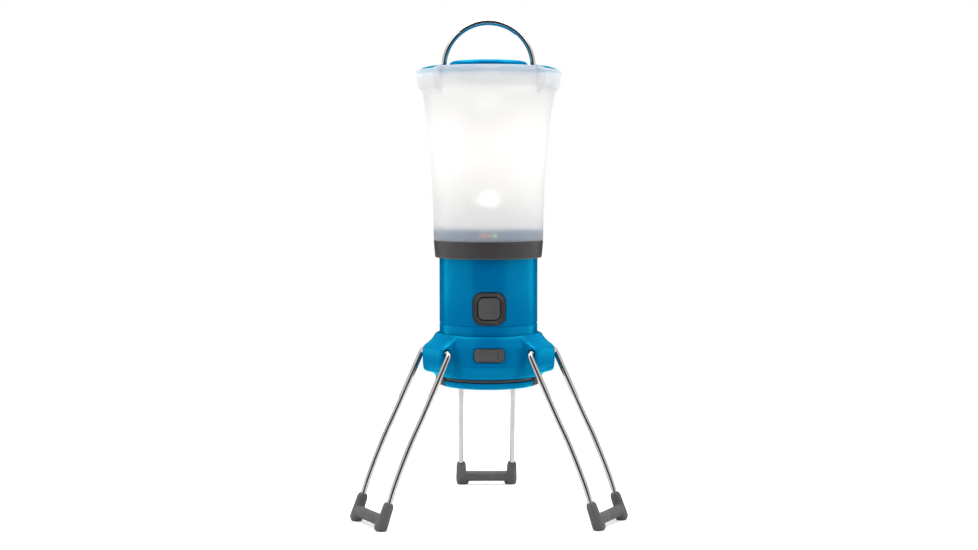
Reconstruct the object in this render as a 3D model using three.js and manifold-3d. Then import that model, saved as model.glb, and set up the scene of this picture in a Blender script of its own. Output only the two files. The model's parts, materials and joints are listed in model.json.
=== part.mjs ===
// Collapsible camping lantern on three folding wire legs, with a frosted globe that slides down
// over the battery housing, a pair of hanging hooks and a screwed battery cover.
// Millimetres, +Z up, the floor at z = 0, the front (button side) towards -Y.
import * as THREE from 'three';
import { mergeVertices } from 'three/addons/utils/BufferGeometryUtils.js';
import Module from 'manifold-3d';

const wasm = await Module();
wasm.setup();

// ---------------------------------------------------------------------------------------------
// Driving dimensions
// ---------------------------------------------------------------------------------------------

const GAP = 0.3;                       // clearance between pieces that touch
const BIG_SEGMENTS = 32;               // round the housing, the globe and the cap
const FINE_SEGMENTS = 48;              // round the small curved faces of the front controls
const SMALL_SEGMENTS = 12;             // round screws, rods and small bores
const AXIS_OFFSET_Y = -10.71;          // puts the middle of the tripod's footprint at y = 0

// Legs: azimuths of the rear, front left and front right leg
const LEG_AZIMUTHS = { rear: 90, front_left: 210, front_right: 330 };
const LEG_ANGLES = Object.values(LEG_AZIMUTHS);
const TAB_AZIMUTHS = [270, 30, 150];   // between the legs: the globe's snap tabs
const PIVOT_RADIUS = 28.7;
const PIVOT_HEIGHT = 78.65;
const LEG_WIRE_RADIUS = 1.25;
const LEG_HALF_SPACING_TOP = 13.05;
const LEG_HALF_SPACING_FOOT = 13.3;
const FOOT_RADIUS = 65.2;              // middle of the sole, from the lantern's axis
const FOOT_TILT = 20.9;                // lower leg, degrees from vertical
const FOOT_HEIGHT = 13.2;
const FOOT_HALF_WIDTH = 15.5;
const FOOT_THICKNESS = 4.6;

// Leg hub
const HUB_BOTTOM = 66.4;
const HUB_TOP = 86.6;
const LOBE_RADIUS = 31.6;
const LOBE_HALF_WIDTH = 10.8;
const LOBE_CORNER = 3.2;
const LOBE_BOTTOM = 68;

// Battery housing
const HOUSING_RADIUS = 23.4;
const HOUSING_WALL = 1.4;
const HOUSING_BOTTOM = 66.3;
const HOUSING_TOP = 130.4;
const COLLAR_TOP = 136.2;
const COLLAR_RADIUS = 24.4;
const CELL_RADIUS = 7.15;
const CELL_LENGTH = 50;
const CELL_BOTTOM = 67;
const CELL_PITCH = 7.35;               // each cell's distance from both middle planes

// Globe and cap
const GLOBE_BOTTOM = 130.6;
const RIM_TOP = 211.8;
const GLOBE_WALL = 1.3;
const EAR_HALF_WIDTH = 8.1;
const EAR_RADIUS = 35;
const BAND_BOTTOM = 122.3;
const BAND_TOP = 130.3;
const BAND_BORE = 23.8;

// Hanging hooks
const HOOK_WIRE_RADIUS = 1.2;
const HOOK_RADIUS = 21.1;
const HOOK_CENTRE_HEIGHT = 212.4;
const HOOK_PIVOT_HEIGHT = 210.6;
const HOOK_PLANE = 1.35;               // each hook's plane, in front of and behind the axis
const HOOK_SWEEP = 130;                // degrees of arc from the pivot side to the cut end

// Power button and charging port, on the front
const BUTTON_HEIGHT = 99.35;
const BUTTON_SIZE = 15.4;
const BUTTON_PAD_SIZE = 10.1;
const PORT_HEIGHT = 77.9;
const PORT_COVER_WIDTH = 14.3;
const PORT_COVER_HEIGHT = 6.4;

// Battery cover
const COVER_BOTTOM = 61.4;
const COVER_TOP = 64.6;
const COVER_RADIUS = 24.8;
const SPIGOT_RADIUS = 21.6;
const SPIGOT_TOP = 70.6;
const LUG_HEIGHT = 68.6;               // middle of a lug when the cover is shut
const LUG_HALF_ANGLE = 12;
const THREAD_RISE = 0.05;              // millimetres for each degree of turn
const COVER_TURN = 90;                 // degrees from shut to free

// ---------------------------------------------------------------------------------------------
// Colours
// ---------------------------------------------------------------------------------------------

const paint = (color, roughness, metalness = 0) =>
  new THREE.MeshStandardMaterial({ color, roughness, metalness });
const frosted = () => {
  const material = paint(0xeef1f3, 0.55);
  material.transparent = true;
  material.opacity = 0.6;
  return material;
};
const blue = () => paint(0x0a86c6, 0.3);
const darkGrey = () => paint(0x474445, 0.6);
const rubber = () => paint(0x5a5a5b, 0.85);
const steel = () => paint(0xcac6c3, 0.18, 1);
const white = () => paint(0xf2f2ee, 0.4);
const board = () => paint(0x1f5a3a, 0.5);
const brass = () => paint(0xc9a24a, 0.35, 1);

// ---------------------------------------------------------------------------------------------
// Shape helpers
// ---------------------------------------------------------------------------------------------

const radians = THREE.MathUtils.degToRad;
const WELD = 1e-4;                     // vertices closer than this are one

// A closed mesh as a solid that can be joined and cut
function toSolid(geometry) {
  const bare = new THREE.BufferGeometry();
  bare.setAttribute('position', geometry.getAttribute('position'));
  bare.setIndex(geometry.getIndex());
  const welded = mergeVertices(bare, WELD);
  const corners = welded.getIndex().array;
  const triangles = [];
  for (let i = 0; i < corners.length; i += 3) {
    const [a, b, c] = corners.slice(i, i + 3);
    if (a !== b && b !== c && c !== a) {
      triangles.push(a, b, c);
    }
  }
  return new wasm.Manifold(new wasm.Mesh({
    numProp: 3,
    vertProperties: welded.getAttribute('position').array,
    triVerts: new Uint32Array(triangles),
  }));
}

function toGeometry(solid) {
  const mesh = solid.getMesh();
  const geometry = new THREE.BufferGeometry();
  geometry.setAttribute('position', new THREE.BufferAttribute(mesh.vertProperties, 3));
  geometry.setIndex(new THREE.BufferAttribute(mesh.triVerts, 1));
  geometry.computeVertexNormals();
  return geometry;
}

function join(...pieces) {
  return toGeometry(pieces.map(toSolid).reduce((whole, piece) => whole.add(piece)));
}

function cut(body, ...tools) {
  return toGeometry(tools.map(toSolid).reduce((left, tool) => left.subtract(tool), toSolid(body)));
}

function overlap(body, other) {
  return toGeometry(toSolid(body).intersect(toSolid(other)));
}

// A profile of [radius, height] points turned about the Z axis. A profile that starts and ends on
// the axis makes a solid body, and any other is closed on itself and makes a ring.
function revolve(profile, segments = BIG_SEGMENTS) {
  const points = profile.map(([radius, height]) => new THREE.Vector2(radius, height));
  const onAxis = profile[0][0] === 0 && profile[profile.length - 1][0] === 0;
  if (!onAxis) {
    points.push(points[0].clone());
  }
  if (THREE.ShapeUtils.area(points) < 0) {
    points.reverse();
  }
  return new THREE.LatheGeometry(points, segments).rotateX(Math.PI / 2);
}

function ring(inner, outer, bottom, top, segments) {
  return revolve([[inner, bottom], [outer, bottom], [outer, top], [inner, top]], segments);
}

function disc(radius, bottom, top, segments = SMALL_SEGMENTS) {
  return revolve([[0, bottom], [radius, bottom], [radius, top], [0, top]], segments);
}

function box(x0, x1, y0, y1, z0, z1) {
  return new THREE.BoxGeometry(x1 - x0, y1 - y0, z1 - z0)
    .translate((x0 + x1) / 2, (y0 + y1) / 2, (z0 + z1) / 2);
}

function outline(points) {
  return new THREE.Shape(points.map(([x, y]) => new THREE.Vector2(x, y)));
}

function roundedRectangle(width, height, corner) {
  const x = width / 2;
  const y = height / 2;
  const shape = new THREE.Shape();
  shape.moveTo(corner - x, -y);
  shape.lineTo(x - corner, -y);
  shape.absarc(x - corner, corner - y, corner, -Math.PI / 2, 0);
  shape.absarc(x - corner, y - corner, corner, 0, Math.PI / 2);
  shape.absarc(corner - x, y - corner, corner, Math.PI / 2, Math.PI);
  shape.absarc(corner - x, corner - y, corner, Math.PI, 1.5 * Math.PI);
  return shape;
}

// A shape drawn in plan, pulled up from one height to another
function pulledUp(shape, bottom, top) {
  const settings = { depth: top - bottom, bevelEnabled: false, curveSegments: 2 };
  return new THREE.ExtrudeGeometry(shape, settings).translate(0, 0, bottom);
}

// A shape drawn in front view, with x across and z up, pulled from one y to another
function pulledBack(shape, front, back) {
  const settings = { depth: back - front, bevelEnabled: false, curveSegments: 2 };
  return new THREE.ExtrudeGeometry(shape, settings).rotateX(Math.PI / 2).translate(0, back, 0);
}

// A cylinder along +Y from one y to another, round the point (x, z)
function rodAlongY(radius, x, z, front, back, segments = SMALL_SEGMENTS) {
  return disc(radius, -back, -front, segments).rotateX(Math.PI / 2).translate(x, 0, z);
}

// A cylinder along +X from one x to another, round the point (y, z)
function rodAlongX(radius, y, z, left, right, segments = SMALL_SEGMENTS) {
  return disc(radius, left, right, segments).rotateY(Math.PI / 2).translate(0, y, z);
}

function turned(geometry, azimuth) {
  return geometry.clone().rotateZ(radians(azimuth));
}

function moved(geometry, x, y, z) {
  return geometry.clone().translate(x, y, z);
}

// The same piece three times, round the axis
function repeated(geometry, azimuths) {
  return azimuths.map((azimuth) => turned(geometry, azimuth));
}

// A path with one sample at each station, so that bends get many and straights few
class StationPath extends THREE.Curve {
  constructor(stations) {
    super();
    this.stations = stations;
  }

  getPoint(t, target = new THREE.Vector3()) {
    const place = t * (this.stations.length - 1);
    const first = Math.min(Math.floor(place), this.stations.length - 2);
    return target.copy(this.stations[first]).lerp(this.stations[first + 1], place - first);
  }

  getPointAt(u, target) {
    return this.getPoint(u, target);
  }

  getTangentAt(u, target = new THREE.Vector3()) {
    const last = this.stations.length - 1;
    const here = Math.round(u * last);
    const before = this.direction(Math.max(here - 1, 0));
    const after = this.direction(Math.min(here, last - 1));
    return target.copy(before).add(after).normalize();
  }

  direction(index) {
    return this.stations[index + 1].clone().sub(this.stations[index]).normalize();
  }
}

function wire(stations, radius, sides) {
  const section = new THREE.Shape();
  for (let side = 0; side < sides; side += 1) {
    const angle = 2 * Math.PI * side / sides;
    const [x, y] = [radius * Math.cos(angle), radius * Math.sin(angle)];
    if (side === 0) {
      section.moveTo(x, y);
    } else {
      section.lineTo(x, y);
    }
  }
  return new THREE.ExtrudeGeometry(section, {
    steps: stations.length - 1,
    extrudePath: new StationPath(stations),
    bevelEnabled: false,
  });
}

// Stations round a bend of the given radius: 'along' and 'out' are the two directions of its
// plane, and the angles run from 'along' towards 'out'
function arc(centre, along, out, radius, from, to, pieces) {
  const stations = [];
  for (let piece = 0; piece <= pieces; piece += 1) {
    const angle = radians(from + (to - from) * piece / pieces);
    stations.push(centre.clone()
      .addScaledVector(along, radius * Math.cos(angle))
      .addScaledVector(out, radius * Math.sin(angle)));
  }
  return stations;
}

const lantern = new THREE.Group();
lantern.position.y = AXIS_OFFSET_Y;

// Every piece goes in under its own name
function add(name, geometry, material, azimuth = 0) {
  const mesh = new THREE.Mesh(toGeometry(toSolid(geometry)), material);
  mesh.name = name;
  mesh.rotation.z = radians(azimuth);
  lantern.add(mesh);
}

// ---------------------------------------------------------------------------------------------
// Globe: a frosted tube that flares towards its rim, with three hollow ears over the legs
// ---------------------------------------------------------------------------------------------

const GLOBE_PROFILE = [                // outside radius at each height
  [26.1, GLOBE_BOTTOM], [26.3, 145], [27, 161], [28, 173], [29.3, 187.4], [30.8, 197], [31.1, 200],
];
const GLOBE_MOUTH_RADIUS = 31.1;
const TONGUE = { inner: 24.8, outer: 25.3, bottom: 128.8 };
const RIM_SLOPE_START = 30.5;          // where the rim starts to fall along an ear
const RIM_SLOPE = (RIM_TOP - 210) / (EAR_RADIUS - RIM_SLOPE_START);

// An ear's block in side view (radius, height), then spread to its width
function earBlock(sideView, halfWidth, azimuth) {
  return turned(pulledBack(outline(sideView), -halfWidth, halfWidth), azimuth);
}

function makeGlobe() {
  const above = RIM_TOP + 2;
  const outside = revolve([
    [0, TONGUE.bottom], [TONGUE.outer, TONGUE.bottom], [TONGUE.outer, GLOBE_BOTTOM],
    ...GLOBE_PROFILE, [GLOBE_MOUTH_RADIUS, RIM_TOP], [0, RIM_TOP],
  ]);
  const inside = revolve([
    [0, TONGUE.bottom - 1], [TONGUE.inner, TONGUE.bottom - 1],
    ...GLOBE_PROFILE.map(([radius, height]) => [radius - GLOBE_WALL, height]),
    [GLOBE_MOUTH_RADIUS - GLOBE_WALL, above], [0, above],
  ]);
  const earOutside = [
    [28, 199.2], [31.1, 199.2], [33.7, 201.8], [EAR_RADIUS, RIM_TOP], [28, RIM_TOP],
  ];
  const earInside = [
    [26, 202.6], [31, 202.6], [32.6, 203.6], [EAR_RADIUS - GLOBE_WALL, above], [26, above],
  ];
  const farOut = EAR_RADIUS + 4;
  const rimWedge = [
    [RIM_SLOPE_START, RIM_TOP], [farOut, RIM_TOP - RIM_SLOPE * (farOut - RIM_SLOPE_START)],
    [farOut, above], [RIM_SLOPE_START, above],
  ];
  const shell = cut(
    join(outside, ...LEG_ANGLES.map((azimuth) => earBlock(earOutside, EAR_HALF_WIDTH, azimuth))),
    inside,
    ...LEG_ANGLES.map((azimuth) => earBlock(earInside, EAR_HALF_WIDTH - GLOBE_WALL, azimuth)),
    ...LEG_ANGLES.map((azimuth) => earBlock(rimWedge, EAR_HALF_WIDTH + 1, azimuth)),
  );
  const tab = pulledBack(outline([[-5.4, 209], [5.4, 209], [6.2, 210.9], [-6.2, 210.9]]), 28.6, 30.2);
  return join(shell, ...TAB_AZIMUTHS.map((azimuth) => turned(tab, azimuth - 90)));
}

// The dark band under the globe slides on the housing. The globe's tongue sits in its top groove,
// and a soft ring in its bore grips the housing.
function makeBand() {
  return revolve([
    [BAND_BORE, BAND_BOTTOM], [25.25, BAND_BOTTOM], [25.5, BAND_BOTTOM + 0.3],
    [26.15, BAND_TOP], [TONGUE.outer + GAP, BAND_TOP], [TONGUE.outer + GAP, TONGUE.bottom - GAP],
    [TONGUE.inner - GAP, TONGUE.bottom - GAP], [TONGUE.inner - GAP, BAND_TOP],
    [BAND_BORE, BAND_TOP], [BAND_BORE, 127.3], [24.9, 127.3], [24.9, 124.9], [BAND_BORE, 124.9],
  ]);
}

// ---------------------------------------------------------------------------------------------
// Cap: closes the globe, fills its ears, and carries the hooks on a raised boss
// ---------------------------------------------------------------------------------------------

const CAP_SKIRT_RADIUS = 29.4;
const CAP_SKIRT_BOTTOM = 209;
const CAP_FLOOR = 207.5;               // underside of the trough that the folded hooks lie in
const BOSS_RADIUS = 18.8;
const REFLECTOR_SCREW_RADIUS = 22;
const HOOK_BORE_RADIUS = HOOK_WIRE_RADIUS + GAP;

function makeCap() {
  const turnedBody = revolve([
    [0, 213.6], [17.3, 213], [17.4, CAP_FLOOR], [26.2, CAP_FLOOR],
    [27.8, CAP_SKIRT_BOTTOM], [CAP_SKIRT_RADIUS, CAP_SKIRT_BOTTOM], [CAP_SKIRT_RADIUS, 211.3],
    [29, 211.7], [28.1, 211.7], [26.7, 209.3], [25.8, 208.9], [19.3, 208.9],
    [BOSS_RADIUS, 209.5], [18.6, 213.7], [17.8, 214.6], [0, 215.4],
  ]);
  const tongue = [
    [27.5, 208], [31.8, 208], [32.8, 209.2], [32.7, 210.8], [32.2, 211.3], [28.4, 212.5], [27.5, 211.5],
  ];
  const tongueHalfWidth = EAR_HALF_WIDTH - GLOBE_WALL - 0.4;
  const hookBlock = box(11, 17.6, -4.5, 4.5, 207.6, 213);
  const saddle = pulledUp(roundedRectangle(2, 7, 0.9), 208.5, 212.1);
  const screwBoss = disc(2.3, 206.4, 208);
  const body = join(
    turnedBody,
    ...LEG_ANGLES.map((azimuth) => earBlock(tongue, tongueHalfWidth, azimuth)),
    hookBlock, turned(hookBlock, 180),
    moved(saddle, 23.9, 0, 0), moved(saddle, -23.9, 0, 0),
    ...repeated(moved(screwBoss, REFLECTOR_SCREW_RADIUS, 0, 0), TAB_AZIMUTHS),
  );
  const notch = pulledBack(outline([[-6, 208.4], [6, 208.4], [7.3, 212], [-7.3, 212]]), 28.1, 31);
  return cut(
    body,
    rodAlongX(HOOK_BORE_RADIUS, -HOOK_PLANE, HOOK_PIVOT_HEIGHT, 12, 20, 12),
    rodAlongX(HOOK_BORE_RADIUS, HOOK_PLANE, HOOK_PIVOT_HEIGHT, -20, -12, 12),
    ...TAB_AZIMUTHS.map((azimuth) => turned(notch, azimuth - 90)),
    ...repeated(moved(disc(1.1, 205, 208.3, 12), REFLECTOR_SCREW_RADIUS, 0, 0), TAB_AZIMUTHS),
  );
}

// A shallow cone, point down, that throws the light sideways; its skirt sits under the cap
function makeUpperReflector() {
  const cone = revolve([
    [0, 193.8], [3, 194.6], [12, 199.2], [20, 202.4], [26.9, 204.2], [27, 201.4],
    [28.1, 201.4], [28.3, 206.9], [26.5, 206.9], [20, 204.1], [12, 201], [0, 195.6],
  ]);
  const hole = moved(disc(1.2, 200, 208, 12), REFLECTOR_SCREW_RADIUS, 0, 0);
  return cut(cone, ...repeated(hole, TAB_AZIMUTHS));
}

// A pan-head screw, point up, with its head at the bottom and a slot across it
function screw(headRadius, headBottom, headTop, shankRadius, shankTop) {
  const body = revolve([
    [0, headBottom], [headRadius * 0.7, headBottom], [headRadius, headBottom + 0.5],
    [headRadius, headTop], [shankRadius, headTop], [shankRadius, shankTop - 0.6], [0, shankTop],
  ], 10);
  const slot = box(-headRadius, headRadius, -0.25, 0.25, headBottom - 1, headBottom + 0.5);
  return cut(body, slot);
}

// ---------------------------------------------------------------------------------------------
// Hooks: each is a wire arc over the boss, with one end bent inwards as its pivot
// ---------------------------------------------------------------------------------------------

const HOOK_PIN_END = 12.8;             // inner end of the pivot, from the middle plane
const HOOK_BEND = 2.2;

// The front hook pivots on the right; the rear one is the same piece turned half round
function makeHook() {
  const across = new THREE.Vector3(1, 0, 0);
  const up = new THREE.Vector3(0, 0, 1);
  const bendCentre = new THREE.Vector3(
    HOOK_RADIUS - HOOK_BEND, -HOOK_PLANE, HOOK_PIVOT_HEIGHT + HOOK_BEND,
  );
  const arcCentre = new THREE.Vector3(0, -HOOK_PLANE, HOOK_CENTRE_HEIGHT);
  const firstAngle = 3;                // just above the bend's end
  return wire([
    new THREE.Vector3(HOOK_PIN_END, -HOOK_PLANE, HOOK_PIVOT_HEIGHT),
    ...arc(bendCentre, across, up, HOOK_BEND, -90, 0, 3),
    ...arc(arcCentre, across, up, HOOK_RADIUS, firstAngle, HOOK_SWEEP, 16),
  ], HOOK_WIRE_RADIUS, 8);
}

// ---------------------------------------------------------------------------------------------
// Battery housing and what stands in it
// ---------------------------------------------------------------------------------------------

const BORE = HOUSING_RADIUS - HOUSING_WALL;
const BOSS_CIRCLE = 20.1;              // screws that hold the battery holder
const EAR_BOTTOM = 73;                 // the holder's ears, under the bosses
const EAR_TOP = 74.8;

// A helical bar round the axis: its middle height climbs with the angle
function helicalBar(inner, outer, halfHeight, fromAngle, toAngle, middleHeight) {
  const pieces = Math.ceil((toAngle - fromAngle) / 8);
  const stations = [];
  for (let piece = 0; piece <= pieces; piece += 1) {
    const angle = fromAngle + (toAngle - fromAngle) * piece / pieces;
    const height = middleHeight + THREAD_RISE * angle;
    stations.push([radians(angle), height]);
  }
  const positions = [];
  const triangles = [];
  for (const [angle, height] of stations) {
    for (const [radius, lift] of [
      [inner, -halfHeight], [outer, -halfHeight], [outer, halfHeight], [inner, halfHeight],
    ]) {
      positions.push(radius * Math.cos(angle), radius * Math.sin(angle), height + lift);
    }
  }
  const quad = (a, b, c, d) => triangles.push(a, b, c, a, c, d);
  for (let piece = 0; piece < pieces; piece += 1) {
    const near = 4 * piece;
    const far = near + 4;
    for (let side = 0; side < 4; side += 1) {
      const next = (side + 1) % 4;
      quad(near + side, far + side, far + next, near + next);
    }
  }
  const end = 4 * pieces;
  quad(0, 1, 2, 3);
  quad(end + 3, end + 2, end + 1, end);
  const geometry = new THREE.BufferGeometry();
  geometry.setAttribute('position', new THREE.Float32BufferAttribute(positions, 3));
  geometry.setIndex(triangles);
  return geometry;
}

function makeHousing() {
  const tube = revolve([
    [BORE, HOUSING_BOTTOM], [24.9, HOUSING_BOTTOM], [24.9, 67.5], [HOUSING_RADIUS, 67.5],
    [HOUSING_RADIUS, 90.65], [HOUSING_RADIUS - 0.4, 90.8], [HOUSING_RADIUS - 0.4, 91.2],
    [HOUSING_RADIUS, 91.35], [HOUSING_RADIUS, HOUSING_TOP], [BORE, HOUSING_TOP],
  ]);
  const boss = join(
    moved(disc(1.9, 75.1, 86), BOSS_CIRCLE, 0, 0),
    box(BOSS_CIRCLE, BORE + 0.5, -1.6, 1.6, 75.1, 86),
  );
  const pilots = repeated(moved(disc(1.2, 75, 81.5), BOSS_CIRCLE, 0, 0), LEG_ANGLES);
  const threadGrooves = LEG_ANGLES.map((azimuth) => turned(helicalBar(
    BORE - 1, SPIGOT_RADIUS + 1.35, 0.8 + 0.35, -COVER_TURN, LUG_HALF_ANGLE + 2, LUG_HEIGHT,
  ), azimuth));
  const buttonWindow = pulledBack(
    roundedRectangle(BUTTON_SIZE + 2 * GAP, BUTTON_SIZE + 2 * GAP, 4.8), -25, -18,
  );
  const portWindow = box(-4.4, 4.4, -26, -18, PORT_HEIGHT - 1.9, PORT_HEIGHT + 1.9);
  return cut(
    join(tube, ...repeated(boss, LEG_ANGLES)),
    ...pilots, ...threadGrooves,
    moved(buttonWindow, 0, 0, BUTTON_HEIGHT),
    portWindow,
  );
}

// The collar stands on the housing, stops the globe's band and carries the light
const STATUS_HEIGHT = 133.2;
const STATUS_SPREAD = [-2.6, 0, 2.6];

function makeCollar() {
  const body = revolve([
    [20.4, 126.5], [BORE - GAP, 126.5], [BORE - GAP, HOUSING_TOP + GAP],
    [COLLAR_RADIUS, HOUSING_TOP + GAP], [COLLAR_RADIUS, COLLAR_TOP - 0.5],
    [COLLAR_RADIUS - 0.5, COLLAR_TOP], [22.2, COLLAR_TOP], [22.2, 133.9], [20.4, 133.9],
  ]);
  const holes = STATUS_SPREAD.map((x) => rodAlongY(1.15, x, STATUS_HEIGHT, -26, -18, 10));
  return cut(body, ...holes);
}

function statusLight() {
  return rodAlongY(0.85, 0, STATUS_HEIGHT, -COLLAR_RADIUS + 0.1, -20, 10);
}

function makeLedTower() {
  return revolve([
    [0, 136], [9, 136], [9, 137.2], [8.2, 137.8], [5.6, 146.4], [5.6, 146.8], [0, 146.8],
  ], 24);
}

function makeLowerReflector() {
  return revolve([[9.4, 138.1], [21.7, 136.1], [21.9, 137], [9.4, 139.3]]);
}

function makeLedBoard() {
  const pads = [0, 90, 180, 270].map((azimuth) => turned(box(4.6, 5.6, -0.8, 0.8, 148, 148.4), azimuth));
  return join(disc(6.3, 147.1, 148.1, 24), ...pads);
}

function makeLedLens() {
  return revolve([
    [0, 148.5], [3.4, 148.5], [3.5, 149], [3.2, 150.3], [2.3, 151.4], [0, 152],
  ], 16);
}

// A round board with its parts standing on it
function makeDriverBoard() {
  return join(
    disc(21.3, 120.4, 121.8, 24),
    box(-5, 5, 3, 12, 121.7, 125.4),
    box(-12, -6.5, -8, 2, 121.7, 123.6),
    box(6, 13, -9, -3, 121.7, 123.4),
    moved(disc(3.2, 121.7, 125.8), 11, 6, 0),
    moved(disc(2.2, 121.7, 125), -10, 9, 0),
  );
}

// Four cells stand side by side; every other one is upside down
const CELL_SEGMENTS = 16;
const CELL_PLACES = [[1, 1], [-1, 1], [-1, -1], [1, -1]];

function makeCell(nubUp) {
  const shape = revolve([
    [0, 0], [CELL_RADIUS - 0.4, 0], [CELL_RADIUS, 0.5], [CELL_RADIUS, CELL_LENGTH - 1.9],
    [CELL_RADIUS - 0.4, CELL_LENGTH - 1.4], [2.8, CELL_LENGTH - 1.3], [2.7, CELL_LENGTH],
    [0, CELL_LENGTH],
  ], CELL_SEGMENTS);
  if (!nubUp) {
    shape.rotateX(Math.PI).translate(0, 0, CELL_LENGTH);
  }
  return shape.translate(0, 0, CELL_BOTTOM);
}

function makeBatteryHolder() {
  const block = disc(18.7, 67.3, 118.7, BIG_SEGMENTS);
  const ears = repeated(box(17, 21.4, -3, 3, EAR_BOTTOM, EAR_TOP), LEG_ANGLES);
  const bores = CELL_PLACES.map(([x, y]) =>
    moved(disc(CELL_RADIUS + GAP, 66, 117.8, CELL_SEGMENTS), x * CELL_PITCH, y * CELL_PITCH, 0));
  const bossClearances = repeated(
    moved(disc(2.25, 60, 120), BOSS_CIRCLE, 0, 0), LEG_ANGLES,
  );
  const frontFlat = box(-20, 20, -20, -15.3, 60, 120);
  return cut(
    join(cut(block, ...bossClearances), ...ears),
    frontFlat, ...bores,
    ...repeated(moved(disc(1.2, 72, 76), BOSS_CIRCLE, 0, 0), LEG_ANGLES),
    box(-1.55, 1.55, -1.55, 1.55, 66, 76.5),
  );
}

// A plate over the upper end of each cell, inside the holder's roof
function makeUpperContact() {
  return box(-3.4, 3.4, -3.4, 3.4, 117.3, 117.5);
}

// ---------------------------------------------------------------------------------------------
// Front controls
// ---------------------------------------------------------------------------------------------

const BUTTON_FACE = 22.75;             // radius of the pad's face

function makeButtonBezel() {
  const plate = pulledBack(roundedRectangle(BUTTON_SIZE, BUTTON_SIZE, 4.5), -24.5, -20.9);
  const window = pulledBack(
    roundedRectangle(BUTTON_PAD_SIZE + 2 * GAP, BUTTON_PAD_SIZE + 2 * GAP, 2.8), -25, -18,
  );
  const flush = disc(HOUSING_RADIUS - 0.05, -20, 20, FINE_SEGMENTS);
  return moved(cut(overlap(plate, flush), window), 0, 0, BUTTON_HEIGHT);
}

function makeButtonPad() {
  const face = pulledBack(roundedRectangle(BUTTON_PAD_SIZE, BUTTON_PAD_SIZE, 2.5), -24.5, -20.3);
  const flange = pulledBack(roundedRectangle(12.4, 12.4, 2.5), -20.5, -19.9);
  const nub = rodAlongY(2, 0, 0, -20, -19.4);
  const curve = disc(BUTTON_FACE, -20, 20, FINE_SEGMENTS);
  return moved(join(overlap(face, curve), flange, nub), 0, 0, BUTTON_HEIGHT);
}

function makeSwitch() {
  const body = box(-3, 3, -17.9, -16.9, -3, 3);
  const plunger = rodAlongY(1.6, 0, 0, -18.35, -17.8, 12);
  return moved(join(body, plunger), 0, 0, BUTTON_HEIGHT);
}

// A small metal socket with a tongue inside, open to the front
function makeChargeSocket() {
  const shell = box(-3.95, 3.95, -23.8, -16.9, -1.5, 1.5);
  const mouth = box(-3.5, 3.5, -25, -18.2, -1.05, 1.05);
  const tongue = box(-2.3, 2.3, -22.6, -18, -0.3, 0.3);
  return moved(join(cut(shell, mouth), tongue), 0, 0, PORT_HEIGHT);
}

// The hub's front wall, as the surface that the port's cover lies in
const HUB_FRONT_RADIUS = 26.9;
const PORT_COVER_THICKNESS = 1.4;

function makePortCover() {
  const plate = pulledBack(roundedRectangle(PORT_COVER_WIDTH, PORT_COVER_HEIGHT, 1.8), -28, -20);
  const curved = overlap(plate, ring(
    HUB_FRONT_RADIUS - PORT_COVER_THICKNESS, HUB_FRONT_RADIUS, -5, 5, FINE_SEGMENTS,
  ));
  const lip = overlap(
    pulledBack(roundedRectangle(1.4, 4, 0.6), -28, -20),
    ring(HUB_FRONT_RADIUS - 0.5, HUB_FRONT_RADIUS + 0.6, -5, 5, FINE_SEGMENTS).translate(-5.2, 0, 0),
  ).translate(5.2, 0, 0);
  return moved(join(curved, lip), 0, 0, PORT_HEIGHT);
}

// ---------------------------------------------------------------------------------------------
// Leg hub: a ring round the housing's foot with three lobes that hold the legs' pivots
// ---------------------------------------------------------------------------------------------

function makeLobe() {
  const sideView = [
    [23.9, LOBE_BOTTOM], [29.3, LOBE_BOTTOM], [30.7, LOBE_BOTTOM + 0.6],
    [LOBE_RADIUS, LOBE_BOTTOM + 2.2], [LOBE_RADIUS, 79.6], [31.1, 80.6], [29.9, 81.4],
    [29.9, HUB_TOP], [23.9, HUB_TOP],
  ];
  const block = pulledBack(outline(sideView), -LOBE_HALF_WIDTH, LOBE_HALF_WIDTH);
  const plan = roundedRectangle(2 * LOBE_RADIUS, 2 * LOBE_HALF_WIDTH, LOBE_CORNER);
  const slopingTop = revolve([
    [0, LOBE_BOTTOM - 1], [36, LOBE_BOTTOM - 1], [36, 79.2], [33.2, 80.3], [31.2, 81.4],
    [29.2, 82.6], [27.5, 83.9], [26, 85.4], [25.3, 86.4], [0, 86.4],
  ], FINE_SEGMENTS);
  return overlap(overlap(block, pulledUp(plan, LOBE_BOTTOM - 1, HUB_TOP)), slopingTop);
}

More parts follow.
